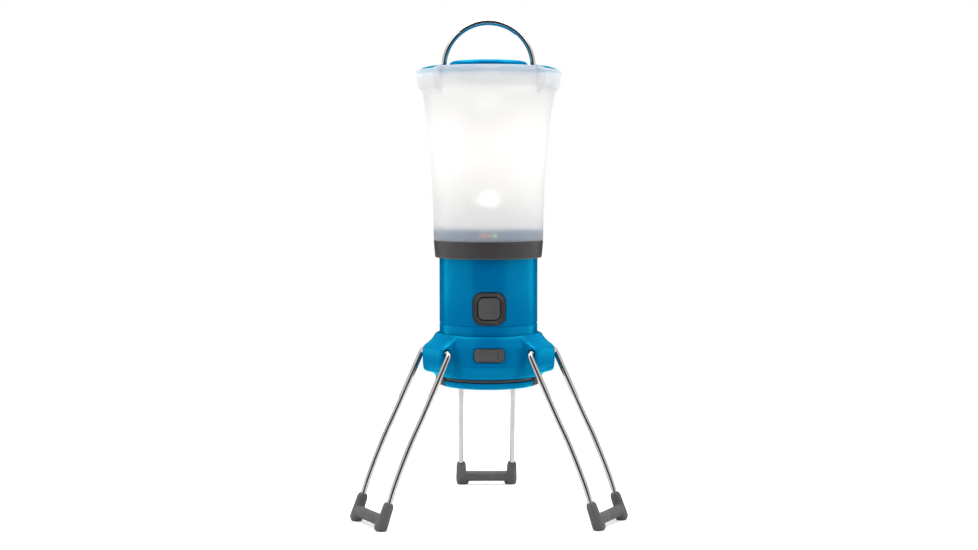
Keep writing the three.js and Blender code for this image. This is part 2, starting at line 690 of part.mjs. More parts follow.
function makeHub() {
  const body = revolve([
    [HOUSING_RADIUS + GAP, 67.8], [25.2, 67.8], [25.2, HUB_BOTTOM], [26, HUB_BOTTOM],
    [26.5, 67], [HUB_FRONT_RADIUS, 72], [HUB_FRONT_RADIUS, 81.4], [26.5, 83], [25.6, 85.2],
    [25.3, 86.4], [25, HUB_TOP], [24, HUB_TOP], [HOUSING_RADIUS + GAP, HUB_TOP - GAP],
  ]);
  const lobe = makeLobe();
  const bore = disc(HOUSING_RADIUS + GAP, 67.8, 90, BIG_SEGMENTS);
  const footRecess = disc(25.2, 60, 67.8, BIG_SEGMENTS);
  const pivotBore = rodAlongY(LEG_WIRE_RADIUS + 0.35, PIVOT_RADIUS, 0, 5, 12);
  const mouth = revolve([
    [0, 9.6], [LEG_WIRE_RADIUS + 0.3, 9.6], [2.1, 11], [2.1, 12], [0, 12],
  ], SMALL_SEGMENTS).rotateX(-Math.PI / 2).translate(PIVOT_RADIUS, 0, 0);
  const pivotHole = moved(join(pivotBore, mouth), 0, 0, PIVOT_HEIGHT);
  const bothHoles = [pivotHole, pivotHole.clone().rotateX(Math.PI).translate(0, 0, 2 * PIVOT_HEIGHT)];
  const portRecess = overlap(
    pulledBack(
      roundedRectangle(PORT_COVER_WIDTH + 2 * GAP, PORT_COVER_HEIGHT + 2 * GAP, 2.1), -30, -20,
    ),
    ring(HUB_FRONT_RADIUS - PORT_COVER_THICKNESS - GAP, 30, -5, 5, FINE_SEGMENTS),
  );
  return cut(
    join(body, ...repeated(lobe, LEG_ANGLES)),
    bore, footRecess,
    ...LEG_ANGLES.flatMap((azimuth) => bothHoles.map((hole) => turned(hole, azimuth))),
    moved(portRecess, 0, 0, PORT_HEIGHT),
    box(-4.4, 4.4, -27, -20, PORT_HEIGHT - 1.9, PORT_HEIGHT + 1.9),
  );
}

// ---------------------------------------------------------------------------------------------
// Legs: each is one wire with its ends hooked into a lobe and its middle moulded into a foot.
// Drawn for a leg along +X, then turned to its azimuth.
// ---------------------------------------------------------------------------------------------

const LEG_SIDE_VIEW = [                // centre of the wire (radius, height) under the pivot
  [38.9, 57.6], [43, 50.6], [48.7, 39.9], [52.1, 32.8], [55.3, 25.7], [58.3, 18.5],
];
const ELBOW = 2.2;
const FOOT_BEND = 3;
const FOOT_WIRE_LIFT = 4.5;            // wire's crossbar above the sole, along the leg
const PIN_END = 5.8;                   // inner end of the pivot pin, from the lobe's middle

const footUp = new THREE.Vector3(-Math.sin(radians(FOOT_TILT)), 0, Math.cos(radians(FOOT_TILT)));
const footOut = new THREE.Vector3(Math.cos(radians(FOOT_TILT)), 0, Math.sin(radians(FOOT_TILT)));
const sideways = new THREE.Vector3(0, 1, 0);
const sole = new THREE.Vector3(FOOT_RADIUS, 0, 0);

function legStations() {
  const pivot = new THREE.Vector3(PIVOT_RADIUS, 0, PIVOT_HEIGHT);
  const [firstRadius, firstHeight] = LEG_SIDE_VIEW[0];
  const towardsPivot = new THREE.Vector3(
    PIVOT_RADIUS - firstRadius, 0, PIVOT_HEIGHT - firstHeight,
  ).normalize();
  const elbowCentre = pivot.clone()
    .addScaledVector(towardsPivot, -ELBOW)
    .addScaledVector(sideways, LEG_HALF_SPACING_TOP - ELBOW);
  const spread = (LEG_HALF_SPACING_FOOT - LEG_HALF_SPACING_TOP) / PIVOT_HEIGHT;
  const bendCentre = sole.clone()
    .addScaledVector(footUp, FOOT_WIRE_LIFT + FOOT_BEND)
    .addScaledVector(sideways, LEG_HALF_SPACING_FOOT - FOOT_BEND);
  const half = [
    pivot.clone().addScaledVector(sideways, PIN_END),
    ...arc(elbowCentre, towardsPivot, sideways, ELBOW, 0, 90, 3),
    ...LEG_SIDE_VIEW.map(([radius, height]) => new THREE.Vector3(
      radius, LEG_HALF_SPACING_TOP + spread * (PIVOT_HEIGHT - height), height,
    )),
    sole.clone().addScaledVector(footUp, FOOT_HEIGHT)
      .addScaledVector(sideways, LEG_HALF_SPACING_FOOT),
    ...arc(bendCentre, sideways, footUp, FOOT_BEND, 0, -90, 3),
  ];
  const mirrored = half.map((place) => new THREE.Vector3(place.x, -place.y, place.z)).reverse();
  return [...half, ...mirrored];
}

function makeFoot() {
  const half = [
    [7.3, 2.05], [9.1, 0.5], [9.3, -1.3], [14.6, -1.3], [14.9, 1], [15.4, 4.5],
    [FOOT_HALF_WIDTH, 12.3], [14.9, FOOT_HEIGHT], [11.7, FOOT_HEIGHT], [11.1, 12.3],
    [11, 8.7], [10.3, 7.4], [9.1, 7],
  ];
  const mirrored = half.map(([x, y]) => [-x, y]).reverse();
  const bevel = 1;
  const block = new THREE.ExtrudeGeometry(outline([...half, ...mirrored]), {
    depth: FOOT_THICKNESS - 2 * bevel, bevelThickness: bevel, bevelSize: bevel,
    bevelOffset: -bevel, bevelSegments: 1,
  }).translate(0, 0, bevel - FOOT_THICKNESS / 2);
  const stance = new THREE.Matrix4().makeBasis(sideways, footUp, footOut).setPosition(sole);
  return cut(
    block.applyMatrix4(stance),
    wire(legStations(), LEG_WIRE_RADIUS + GAP, 8),
    box(FOOT_RADIUS - 20, FOOT_RADIUS + 20, -20, 20, -10, 0),
  );
}

// ---------------------------------------------------------------------------------------------
// Battery cover: screws into the housing's foot. A contact disc that doesn't turn rides in it.
// ---------------------------------------------------------------------------------------------

const PAD_AZIMUTHS = [0, 180];
const PAD_HALF_ANGLE = 32;
const PAD_POCKET_HALF_ANGLE = 32.8;

function sector(radius, halfAngle, bottom, top) {
  const edge = radius / Math.cos(radians(halfAngle));
  const [x, y] = [edge * Math.cos(radians(halfAngle)), edge * Math.sin(radians(halfAngle))];
  return pulledUp(outline([[1, -y / x], [x, -y], [x, y], [1, y / x]]), bottom, top);
}

function makeCover() {
  const body = revolve([
    [0, COVER_BOTTOM + 0.5], [14, COVER_BOTTOM + 0.5], [14.5, COVER_BOTTOM], [21.6, COVER_BOTTOM],
    [23, 61.8], [24.1, 62.6], [24.7, 63.6], [COVER_RADIUS, COVER_TOP], [SPIGOT_RADIUS, COVER_TOP],
    [SPIGOT_RADIUS, SPIGOT_TOP], [20.2, SPIGOT_TOP], [20.2, 62.9], [0, 62.9],
  ]);
  const lugs = LEG_ANGLES.map((azimuth) => turned(helicalBar(
    SPIGOT_RADIUS - 0.7, SPIGOT_RADIUS + 1, 0.8, -LUG_HALF_ANGLE, LUG_HALF_ANGLE, LUG_HEIGHT,
  ), azimuth));
  const padPocket = overlap(
    ring(23.3, 27, 60, 66, BIG_SEGMENTS), sector(30, PAD_POCKET_HALF_ANGLE, 59, 67),
  );
  return cut(join(body, ...lugs), ...repeated(padPocket, PAD_AZIMUTHS));
}

// A rubber grip pad let into the cover's edge
function makeGripPad() {
  const edge = revolve([
    [23.6, 62.1], [24.2, 61.9], [24.9, 62.5], [25.2, 63.4], [25.2, 66], [24.3, 66],
    [24.3, COVER_TOP], [23.6, COVER_TOP],
  ], FINE_SEGMENTS);
  return overlap(edge, sector(30, PAD_HALF_ANGLE, 59, 67));
}

function makeContactDisc() {
  const key = box(-1.2, 1.2, -1.2, 1.2, 64, 73);
  return join(disc(19.2, 63.2, 64.5, 24), key);
}

function makeContactSpring() {
  const stations = [];
  const turns = 2;
  const samples = 8 * turns;
  for (let sample = 0; sample <= samples; sample += 1) {
    const share = sample / samples;
    const angle = 2 * Math.PI * turns * share;
    const radius = 4.6 - 2.4 * share;
    stations.push(new THREE.Vector3(
      radius * Math.cos(angle), radius * Math.sin(angle), 65.15 + 1.2 * share,
    ));
  }
  return wire(stations, 0.3, 4);
}

// ---------------------------------------------------------------------------------------------
// The lantern
// ---------------------------------------------------------------------------------------------

// Sliding head
add('globe', makeGlobe(), frosted());
add('globe_band', makeBand(), darkGrey());
add('slide_ring', ring(23.72, 24.6, 125.2, 127, BIG_SEGMENTS), rubber());
add('top_cap', makeCap(), blue());
add('upper_reflector', makeUpperReflector(), white());
TAB_AZIMUTHS.forEach((azimuth, index) => {
  const reflectorScrew = moved(screw(1.9, 201, 202.4, 0.75, 208), REFLECTOR_SCREW_RADIUS, 0, 0);
  add(`reflector_screw_${index + 1}`, reflectorScrew, steel(), azimuth);
});

// Hooks
add('hook_front', makeHook(), steel());
add('hook_rear', makeHook(), steel(), 180);

// Housing and light
add('housing', makeHousing(), blue());
add('deck_collar', makeCollar(), blue());
add('led_deck', disc(21.9, 134.2, 135.7, BIG_SEGMENTS), white());
add('lower_reflector', makeLowerReflector(), white());
add('led_tower', makeLedTower(), paint(0xc8cacc, 0.4, 1));
add('led_board', makeLedBoard(), white());
add('led_lens', makeLedLens(), paint(0xfff3d0, 0.1));
STATUS_SPREAD.forEach((x, index) => {
  const colours = [0xd23a2e, 0xe8a72c, 0x3fae49];
  add(`status_light_${index + 1}`, moved(statusLight(), x, 0, 0), paint(colours[index], 0.3));
});
add('driver_board', makeDriverBoard(), board());

// Front controls
add('button_bezel', makeButtonBezel(), darkGrey());
add('button_pad', makeButtonPad(), rubber());
add('button_board', box(-7, 7, -16.6, -15.6, 73.5, 108), board());
add('tact_switch', makeSwitch(), paint(0x22252a, 0.5));
add('charge_socket', makeChargeSocket(), steel());
add('port_cover', makePortCover(), rubber());

// Batteries
add('battery_holder', makeBatteryHolder(), paint(0x2c2f33, 0.6));
CELL_PLACES.forEach(([x, y], index) => {
  const cell = moved(makeCell(index % 2 === 0), x * CELL_PITCH, y * CELL_PITCH, 0);
  add(`battery_${index + 1}`, cell, paint(0xb9bcc0, 0.35, 1));
  const contact = moved(makeUpperContact(), x * CELL_PITCH, y * CELL_PITCH, 0);
  add(`upper_contact_${index + 1}`, contact, brass());
  const spring = moved(makeContactSpring(), x * CELL_PITCH, y * CELL_PITCH, 0);
  add(`contact_spring_${index + 1}`, spring, steel());
});
LEG_ANGLES.forEach((azimuth, index) => {
  const holderScrew = moved(screw(1.6, 71, 72.6, 0.8, 80), BOSS_CIRCLE, 0, 0);
  add(`holder_screw_${index + 1}`, holderScrew, steel(), azimuth);
});
add('contact_disc', makeContactDisc(), board());
add('battery_cover', makeCover(), blue());
add('cover_gasket', ring(22.9, 24, 64.9, 66, BIG_SEGMENTS), rubber());
PAD_AZIMUTHS.forEach((azimuth, index) => {
  add(`grip_pad_${index + 1}`, makeGripPad(), rubber(), azimuth);
});

// Hub and legs
add('leg_hub', makeHub(), blue());
for (const [place, azimuth] of Object.entries(LEG_AZIMUTHS)) {
  add(`leg_wire_${place}`, wire(legStations(), LEG_WIRE_RADIUS, 8), steel(), azimuth);
  add(`foot_${place}`, makeFoot(), rubber(), azimuth);
}

export default lantern;
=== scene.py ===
"""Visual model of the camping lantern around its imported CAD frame. Shapes are written in
millimetres about the lantern's own axis and turned into metres in the row frame when made."""

import json
import math

import bmesh
import bpy
import numpy as np
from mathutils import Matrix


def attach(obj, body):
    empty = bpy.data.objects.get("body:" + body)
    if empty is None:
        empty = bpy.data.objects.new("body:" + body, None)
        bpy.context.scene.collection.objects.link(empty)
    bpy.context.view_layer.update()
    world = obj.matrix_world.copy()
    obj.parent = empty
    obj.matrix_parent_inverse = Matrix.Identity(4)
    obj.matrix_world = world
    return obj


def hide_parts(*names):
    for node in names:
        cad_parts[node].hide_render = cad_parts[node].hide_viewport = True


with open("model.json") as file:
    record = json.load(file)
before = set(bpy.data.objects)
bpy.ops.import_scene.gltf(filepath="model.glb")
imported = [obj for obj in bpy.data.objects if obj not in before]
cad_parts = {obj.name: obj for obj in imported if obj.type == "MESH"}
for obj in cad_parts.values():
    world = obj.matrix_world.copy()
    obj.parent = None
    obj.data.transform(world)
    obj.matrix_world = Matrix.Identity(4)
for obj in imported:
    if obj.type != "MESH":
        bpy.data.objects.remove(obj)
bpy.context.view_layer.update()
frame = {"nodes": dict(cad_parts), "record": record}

scene = bpy.context.scene
MM = 0.001
AXIS_Y = -10.71
LEGS = {"rear": 90, "front_left": 210, "front_right": 330}
TABS = (270, 30, 150)
PADS = (0, 180)
SEGMENTS = 192


# ---- Mesh helpers ----


def finish_mesh(obj, sharp_angle=34):
    """Faces outwards, shaded smooth with creases where the surface really turns."""
    work = bmesh.new()
    work.from_mesh(obj.data)
    bmesh.ops.remove_doubles(work, verts=work.verts, dist=2e-7)
    bmesh.ops.dissolve_degenerate(work, edges=work.edges, dist=1e-7)
    bmesh.ops.recalc_face_normals(work, faces=work.faces)
    work.to_mesh(obj.data)
    work.free()
    obj.data.shade_smooth()
    obj.data.set_sharp_from_angle(angle=math.radians(sharp_angle))


def raw_object(name, vertices, faces):
    """An object from millimetre vertices about the lantern's axis."""
    placed = (np.asarray(vertices, float) + (0, AXIS_Y, 0)) * MM
    mesh = bpy.data.meshes.new(name)
    mesh.from_pydata(placed.tolist(), [], faces)
    obj = bpy.data.objects.new(name, mesh)
    scene.collection.objects.link(obj)
    work = bmesh.new()
    work.from_mesh(mesh)
    bmesh.ops.recalc_face_normals(work, faces=work.faces)
    work.to_mesh(mesh)
    work.free()
    return obj


def bake_modifiers(obj):
    """Turns the object's modifiers into its mesh."""
    graph = bpy.context.evaluated_depsgraph_get()
    mesh = bpy.data.meshes.new_from_object(obj.evaluated_get(graph))
    obj.modifiers.clear()
    old = obj.data
    obj.data = mesh
    bpy.data.meshes.remove(old)


def combine(obj, others, operation):
    """Joins the other objects to this one, or cuts them from it, and removes them."""
    for other in others:
        modifier = obj.modifiers.new("combine", "BOOLEAN")
        modifier.operation = operation
        modifier.solver = "EXACT"
        modifier.object = other
        bake_modifiers(obj)
        bpy.data.objects.remove(other)


def rounded(corners, steps=4):
    """A closed outline from (x, y, fillet) corners."""
    points = []
    for index, (x, y, fillet) in enumerate(corners):
        corner = np.array((x, y), float)
        if fillet <= 0:
            points.append(corner)
            continue
        back = np.array(corners[index - 1][:2], float) - corner
        ahead = np.array(corners[(index + 1) % len(corners)][:2], float) - corner
        back_length, ahead_length = np.linalg.norm(back), np.linalg.norm(ahead)
        cosine = np.clip(back @ ahead / (back_length * ahead_length), -1, 1)
        reach = fillet / max(math.tan(math.acos(cosine) / 2), 1e-3)
        reach = min(reach, 0.48 * back_length, 0.48 * ahead_length)
        start = corner + back / back_length * reach
        end = corner + ahead / ahead_length * reach
        for step in range(steps + 1):
            t = step / steps
            points.append((1 - t) ** 2 * start + 2 * t * (1 - t) * corner + t * t * end)
    return [tuple(point) for point in points]


def loops_to_faces(columns, rows, closed_columns=True, closed_rows=True):
    """Quads over a grid of columns x rows vertices."""
    faces = []
    for column in range(columns if closed_columns else columns - 1):
        after = (column + 1) % columns
        for row in range(rows if closed_rows else rows - 1):
            below = (row + 1) % rows
            here, there = column * rows, after * rows
            faces.append((here + row, there + row, there + below, here + below))
    return faces


def tube_of(name, rings, closed=False):
    """A skin over rings of points, joined end to end or capped at its two ends."""
    count, sides = len(rings), len(rings[0])
    faces = loops_to_faces(count, sides, closed_columns=closed)
    if not closed:
        faces.append(tuple(range(sides)))
        faces.append(tuple(range(count * sides - 1, (count - 1) * sides - 1, -1)))
    return raw_object(name, np.concatenate(rings), faces)


def about_axis(profile, segments):
    """The vertices of a (radius, height) outline turned about the axis."""
    angles = 2 * np.pi * np.arange(segments) / segments
    section = np.asarray(profile, float)
    vertices = np.empty((segments, len(profile), 3))
    vertices[..., 0] = np.cos(angles)[:, None] * section[:, 0]
    vertices[..., 1] = np.sin(angles)[:, None] * section[:, 0]
    vertices[..., 2] = section[:, 1]
    return vertices.reshape(-1, 3)


def ring_of(name, profile, segments=SEGMENTS):
    """A closed (radius, height) outline turned about the axis."""
    vertices = about_axis(profile, segments)
    return raw_object(name, vertices, loops_to_faces(segments, len(profile)))


def disc_of(name, profile, segments=SEGMENTS):
    """An open (radius, height) outline whose two ends are on the axis, turned about it."""
    rows = len(profile) - 2
    points = about_axis(profile[1:-1], segments).tolist()
    points += [(0, 0, profile[0][1]), (0, 0, profile[-1][1])]
    faces = loops_to_faces(segments, rows, closed_rows=False)
    first, last = len(points) - 2, len(points) - 1
    for column in range(segments):
        after = (column + 1) % segments
        faces.append((first, after * rows, column * rows))
        faces.append((last, column * rows + rows - 1, after * rows + rows - 1))
    return raw_object(name, points, faces)


def open_rounded(corners, steps=4):
    """Like rounded, for an outline whose first and last corners stay as they are."""
    kept = [(corners[0][0], corners[0][1], 0), *corners[1:-1], (corners[-1][0], corners[-1][1], 0)]
    return rounded(kept, steps)


def prism(name, outline, low, high, upright=True, azimuth=0):
    """An outline given a thickness: across y when upright (x, z), or up z from (x, y)."""
    count = len(outline)
    flat = np.asarray(outline, float)
    points = []
    for depth in (low, high):
        ends = [flat[:, 0], flat[:, 1], np.full(count, float(depth))]
        if upright:
            ends = [ends[0], ends[2], ends[1]]
        points.extend(turned(np.stack(ends, axis=1), azimuth).tolist())
    faces = [tuple(range(count)), tuple(range(2 * count - 1, count - 1, -1))]
    for index in range(count):
        after = (index + 1) % count
        faces.append((index, after, count + after, count + index))
    return raw_object(name, points, faces)


def turned(points, azimuth):
    angle = math.radians(azimuth)
    cosine, sine = math.cos(angle), math.sin(angle)
    points = np.asarray(points, float)
    return np.stack(
        [
            points[..., 0] * cosine - points[..., 1] * sine,
            points[..., 0] * sine + points[..., 1] * cosine,
            points[..., 2],
        ],
        axis=-1,
    )


def sweep(name, path, radius, sides=20, end_round=0.3):
    """A round wire along a path, with softly rounded ends."""
    path = np.asarray(path, float)
    steps = np.diff(path, axis=0)
    steps /= np.linalg.norm(steps, axis=1)[:, None]
    tangents = np.vstack([steps[:1], steps[:-1] + steps[1:], steps[-1:]])
    tangents /= np.linalg.norm(tangents, axis=1)[:, None]
    helper = np.array((0.0, 1.0, 0.0)) if abs(tangents[0][1]) < 0.9 else np.array((1.0, 0.0, 0.0))
    normal = np.cross(tangents[0], helper)
    normal /= np.linalg.norm(normal)
    angles = 2 * np.pi * np.arange(sides) / sides
    rings = []

    def add_ring(centre, tangent, size):
        nonlocal normal
        normal = normal - tangent * (normal @ tangent)
        normal /= np.linalg.norm(normal)
        across = np.cross(tangent, normal)
        ring = centre + size * (
            np.cos(angles)[:, None] * normal + np.sin(angles)[:, None] * across
        )
        rings.append(ring)

    # how far in from the end, and how much thinner there, in parts of end_round
    rounding = ((0, 1), (0.3, 0.3), (1, 0))
    for inwards, thinner in rounding:
        place = path[0] + tangents[0] * inwards * end_round
        add_ring(place, tangents[0], radius - thinner * end_round)
    for centre, tangent in zip(path[1:-1], tangents[1:-1]):
        add_ring(centre, tangent, radius)
    for inwards, thinner in reversed(rounding):
        place = path[-1] - tangents[-1] * inwards * end_round
        add_ring(place, tangents[-1], radius - thinner * end_round)
    return tube_of(name, rings)


def bend(centre, along, out, radius, start, end, pieces):
    """Points round a bend in the plane of two directions, in degrees from along to out."""
    centre, along, out = (np.asarray(value, float) for value in (centre, along, out))
    return [
        centre + radius * (math.cos(angle) * along + math.sin(angle) * out)
        for angle in np.radians(np.linspace(start, end, pieces + 1))
    ]


def through(points, pieces=6):
    """A smooth curve through the points (Catmull-Rom)."""
    points = np.asarray(points, float)
    padded = np.vstack([2 * points[0] - points[1], points, 2 * points[-1] - points[-2]])
    curve = []
    for index in range(1, len(padded) - 2):
        before, start, end, after = padded[index - 1 : index + 3]
        for step in range(pieces):
            t = step / pieces
            curve.append(
                0.5
                * (
                    2 * start
                    + (end - before) * t
                    + (2 * before - 5 * start + 4 * end - after) * t**2
                    + (3 * start - before - 3 * end + after) * t**3
                )
            )
    curve.append(points[-1])
    return curve


def smooth_max(a, b, size):
    return 0.5 * (a + b + np.sqrt((a - b) ** 2 + size**2))


def smooth_min(a, b, size):
    return 0.5 * (a + b - np.sqrt((a - b) ** 2 + size**2))


def ramp(value, low, high):
    """0 below low, 1 above high, smooth between."""
    share = np.clip((value - low) / (high - low), 0, 1)
    return share * share * (3 - 2 * share)


def angle_columns(coarse, fine, near, far, centres):
    """Angles round the axis in degrees, coarse everywhere and fine beside each centre."""
    angles = set(np.round(np.arange(0, 360, coarse), 4))
    for centre in centres:
        for side in (-1, 1):
            for offset in np.arange(near, far, fine):
                angles.add(round((centre + side * offset) % 360, 4))
    ordered = sorted(angles)
    kept = [ordered[0]]
    for angle in ordered[1:]:
        if angle - kept[-1] > 0.6 * fine:
            kept.append(angle)
    return np.array(kept)


def nearest_offset(angles, centres):
    """Degrees from the nearest of the centres, for each angle."""
    offsets = np.stack([(angles - centre + 180) % 360 - 180 for centre in centres])
    best = np.abs(offsets).argmin(axis=0)
    return offsets[best, np.arange(len(angles))]


# ---- Materials ----


class Nodes:
    """The node tree of a new material, or of a world, with short helpers."""

    def __init__(self, name, world=None):
        self.material = world or bpy.data.materials.new(name)
        self.material.use_nodes = True
        self.tree = self.material.node_tree
        self.tree.nodes.clear()
        self.output = self.tree.nodes.new(
            "ShaderNodeOutputWorld" if world else "ShaderNodeOutputMaterial"
        )
        place = self.tree.nodes.new("ShaderNodeTexCoord")
        self.coordinates = place.outputs["Generated" if world else "Object"]

    def node(self, kind, **values):
        made = self.tree.nodes.new(kind)
        for key, value in values.items():
            if key in made.inputs:
                made.inputs[key].default_value = value
            else:
                setattr(made, key, value)
        return made

    def link(self, source, target):
        self.tree.links.new(source, target)

    def feed(self, made, *values):
        """Gives a node's first inputs their links or plain numbers."""
        for socket, value in zip(made.inputs, values):
            if isinstance(value, (int, float)):
                socket.default_value = value
            else:
                self.link(value, socket)
        return made.outputs[0]

    def math(self, operation, *values):
        return self.feed(self.node("ShaderNodeMath", operation=operation), *values)

    def mix(self, share, first, second):
        """The first shader, with the second showing by its share."""
        return self.feed(self.node("ShaderNodeMixShader"), share, first, second)

    def split(self):
        """The three coordinates as numbers."""
        made = self.node("ShaderNodeSeparateXYZ")
        self.link(self.coordinates, made.inputs[0])
        return made.outputs

    def noise(self, scale, detail=3, stretch=None):
        made = self.node("ShaderNodeTexNoise", Scale=scale, Detail=detail)
        source = self.coordinates
        if stretch:
            mapping = self.node("ShaderNodeMapping", Scale=stretch)
            self.link(source, mapping.inputs["Vector"])
            source = mapping.outputs["Vector"]
        self.link(source, made.inputs["Vector"])
        return made.outputs["Fac"]

    def between(self, factor, low, high, start=0.35, end=0.65):
        """A number from low to high as the factor goes from start to end."""
        made = self.node("ShaderNodeMapRange")
        made.inputs["From Min"].default_value = start
        made.inputs["From Max"].default_value = end
        made.inputs["To Min"].default_value = low
        made.inputs["To Max"].default_value = high
        self.link(factor, made.inputs["Value"])
        return made.outputs["Result"]

    def blend(self, factor, first, second):
        """A colour from first to second by the factor."""
        made = self.node("ShaderNodeMix", data_type="RGBA")
        sockets = [socket for socket in made.inputs if socket.type == "RGBA"]
        for socket, colour in zip(sockets, (first, second)):
            if isinstance(colour, tuple):
                socket.default_value = (*colour, 1)
            else:
                self.link(colour, socket)
        self.link(factor, made.inputs["Factor"])
        return [socket for socket in made.outputs if socket.type == "RGBA"][0]

    def greys(self, share, table):
        """A grey that follows a table of degrees and values, as the share of a half turn."""
        made = self.node("ShaderNodeValToRGB")
        self.link(share, made.inputs["Fac"])
        elements = made.color_ramp.elements
        elements.remove(elements[1])
        elements[0].position = 0
        elements[0].color = (table[0][1],) * 3 + (1,)
        for degrees, value in table[1:]:
            elements.new(degrees / 180).color = (value, value, value, 1)
        return made.outputs["Color"]

    def bump(self, height, strength, distance, below=None):
        made = self.node("ShaderNodeBump", Strength=strength, Distance=distance)
        self.link(height, made.inputs["Height"])
        if below:
            self.link(below, made.inputs["Normal"])
        return made.outputs["Normal"]

    def principled(self, color=None, roughness=None, normal=None, **values):
        made = self.node("ShaderNodeBsdfPrincipled")
        for key, value in values.items():
            socket = made.inputs[key.replace("_", " ")]
            if isinstance(value, bpy.types.NodeSocket):
                self.link(value, socket)
            else:
                socket.default_value = value
        linked = {"Base Color": color, "Roughness": roughness, "Normal": normal}
        for key, source in linked.items():
            if source is not None:
                self.link(source, made.inputs[key])
        return made.outputs["BSDF"]

    def done(self, shader):
        self.link(shader, self.output.inputs["Surface"])
        return self.material


def scaled(colour, share):
    """The colour, lighter or darker."""
    return tuple(min(1.0, channel * share) for channel in colour)


def plastic(name, colour, rough, spread, grain, depth, mottle=0.06):
    """Moulded plastic or rubber: mottled colour, uneven gloss, and a fine grain."""
    nodes = Nodes(name)
    cloud = nodes.noise(60, 4)
    speckle = nodes.noise(grain, 2)
    tone = nodes.blend(
        nodes.between(cloud, 0, 1), scaled(colour, 1 - mottle), scaled(colour, 1 + mottle)
    )
    gloss = nodes.between(nodes.noise(220, 5), rough - spread, rough + spread)
    relief = nodes.bump(speckle, 0.6, depth)
    relief = nodes.bump(nodes.noise(500, 2), 0.25, depth, relief)
    return nodes.done(nodes.principled(tone, gloss, relief))


def glossy_shell(name, colour, rough, spread, sheen):
    """Glossy pigmented plastic whose reflections take the pigment's colour."""
    nodes = Nodes(name)
    tone = nodes.blend(
        nodes.between(nodes.noise(60, 4), 0, 1), scaled(colour, 0.97), scaled(colour, 1.03)
    )
    gloss = nodes.between(nodes.noise(220, 5), rough - spread, rough + spread)
    relief = nodes.bump(nodes.noise(2400, 2), 0.6, 0.000004)
    relief = nodes.bump(nodes.noise(500, 2), 0.25, 0.000004, relief)
    pigment = nodes.principled(tone, gloss, relief, Specular_IOR_Level=0.0)
    shine = nodes.node("ShaderNodeBsdfAnisotropic", Color=(*sheen, 1))
    nodes.link(gloss, shine.inputs["Roughness"])
    nodes.link(relief, shine.inputs["Normal"])
    share = nodes.node("ShaderNodeFresnel", IOR=1.6)
    nodes.link(relief, share.inputs["Normal"])
    return nodes.done(nodes.mix(share.outputs[0], pigment, shine.outputs[0]))


def metal(name, colour, rough, spread, lines):
    """Drawn or rolled metal: fine lines in its gloss and a few duller clouds."""
    nodes = Nodes(name)
    cloud = nodes.noise(90, 4)
    streak = nodes.noise(1, 3, stretch=lines)
    tone = nodes.blend(nodes.between(cloud, 0, 1), scaled(colour, 0.93), scaled(colour, 1.04))
    gloss = nodes.between(streak, rough - spread, rough + spread)
    relief = nodes.bump(streak, 0.15, 0.00001)
    return nodes.done(nodes.principled(tone, gloss, relief, Metallic=1.0))


def frosted_globe():
    """Frosted polycarbonate: light from inside spreads in it, near things show through, and a
    painted glow lies along its rim.
    """
    nodes = Nodes("frosted_globe")
    height = nodes.split()["Z"]
    relief = nodes.bump(nodes.noise(3500, 2), 0.35, 0.00003)
    tone = nodes.blend(
        nodes.between(nodes.noise(45, 3), 0, 1), (0.925, 0.92, 0.92), (0.965, 0.96, 0.955)
    )
    gloss = nodes.between(nodes.noise(300, 3), 0.42, 0.55)
    # painted glow: emission near the rim stands in for lamp light piped up the wall, painted blue
    # where the cap's flange lies behind
    painted_rim_glow = nodes.between(height, 0.0, 0.42, 0.1975, 0.2103)
    painted_blue_band_from = nodes.between(height, 0, 1, 0.2083, 0.2088)
    painted_blue_band_to = nodes.between(height, 1, 0, 0.2094, 0.2100)
    painted_blue_band = nodes.math("MULTIPLY", painted_blue_band_from, painted_blue_band_to)
    painted_rim_glow_colour = nodes.blend(painted_blue_band, (0.96, 0.98, 1.0), (0.42, 0.84, 1.0))
    # the skin carries the painted rim glow and its painted blue band as emission
    skin = nodes.principled(
        tone, gloss, relief, Specular_IOR_Level=0.4, Emission_Color=painted_rim_glow_colour,
        Emission_Strength=painted_rim_glow,
    )
    glow = nodes.node("ShaderNodeBsdfTranslucent")
    nodes.link(tone, glow.inputs["Color"])
    nodes.link(relief, glow.inputs["Normal"])
    clear = nodes.node("ShaderNodeBsdfRefraction", Roughness=0.60, IOR=1.20)
    clear.inputs["Color"].default_value = (0.97, 0.975, 0.98, 1)
    solid = nodes.mix(0.38, skin, glow.outputs[0])
    near_rim = nodes.between(height, 0.42, 0.60, 0.2080, 0.2092)
    near_collar = nodes.between(height, 0.20, 0.0, 0.1350, 0.1370)
    sight = nodes.math("ADD", near_rim, near_collar)
    return nodes.done(nodes.mix(sight, solid, clear.outputs[0]))


def lit_plastic(name, scale, dark, colour, rough, emission, strength):
    """Clear or tinted plastic with a light in it."""
    nodes = Nodes(name)
    cells = nodes.noise(scale, 2)
    tone = nodes.blend(nodes.between(cells, 0, 1), dark, colour)
    gloss = nodes.between(cells, *rough)
    glow = (*emission, 1)
    return nodes.done(
        nodes.principled(tone, gloss, Emission_Color=glow, Emission_Strength=strength)
    )


def pilot_light(name, colour, strength):
    dark = scaled(colour, 0.85)
    return lit_plastic(name, 1200, dark, colour, (0.12, 0.2), colour, strength)


def thin_white():
    """White reflector plastic, thin enough to let some of the lamp's light through."""
    nodes = Nodes("white_reflector")
    cloud = nodes.noise(70, 3)
    tone = nodes.blend(nodes.between(cloud, 0, 1), (0.86, 0.86, 0.85), (0.90, 0.90, 0.89))
    gloss = nodes.between(nodes.noise(260, 3), 0.3, 0.42)
    relief = nodes.bump(nodes.noise(1800, 2), 0.4, 0.00001)
    skin = nodes.principled(tone, gloss, relief)
    lit_through = nodes.node("ShaderNodeBsdfTranslucent")
    nodes.link(tone, lit_through.inputs["Color"])
    return nodes.done(nodes.mix(0.45, skin, lit_through.outputs[0]))


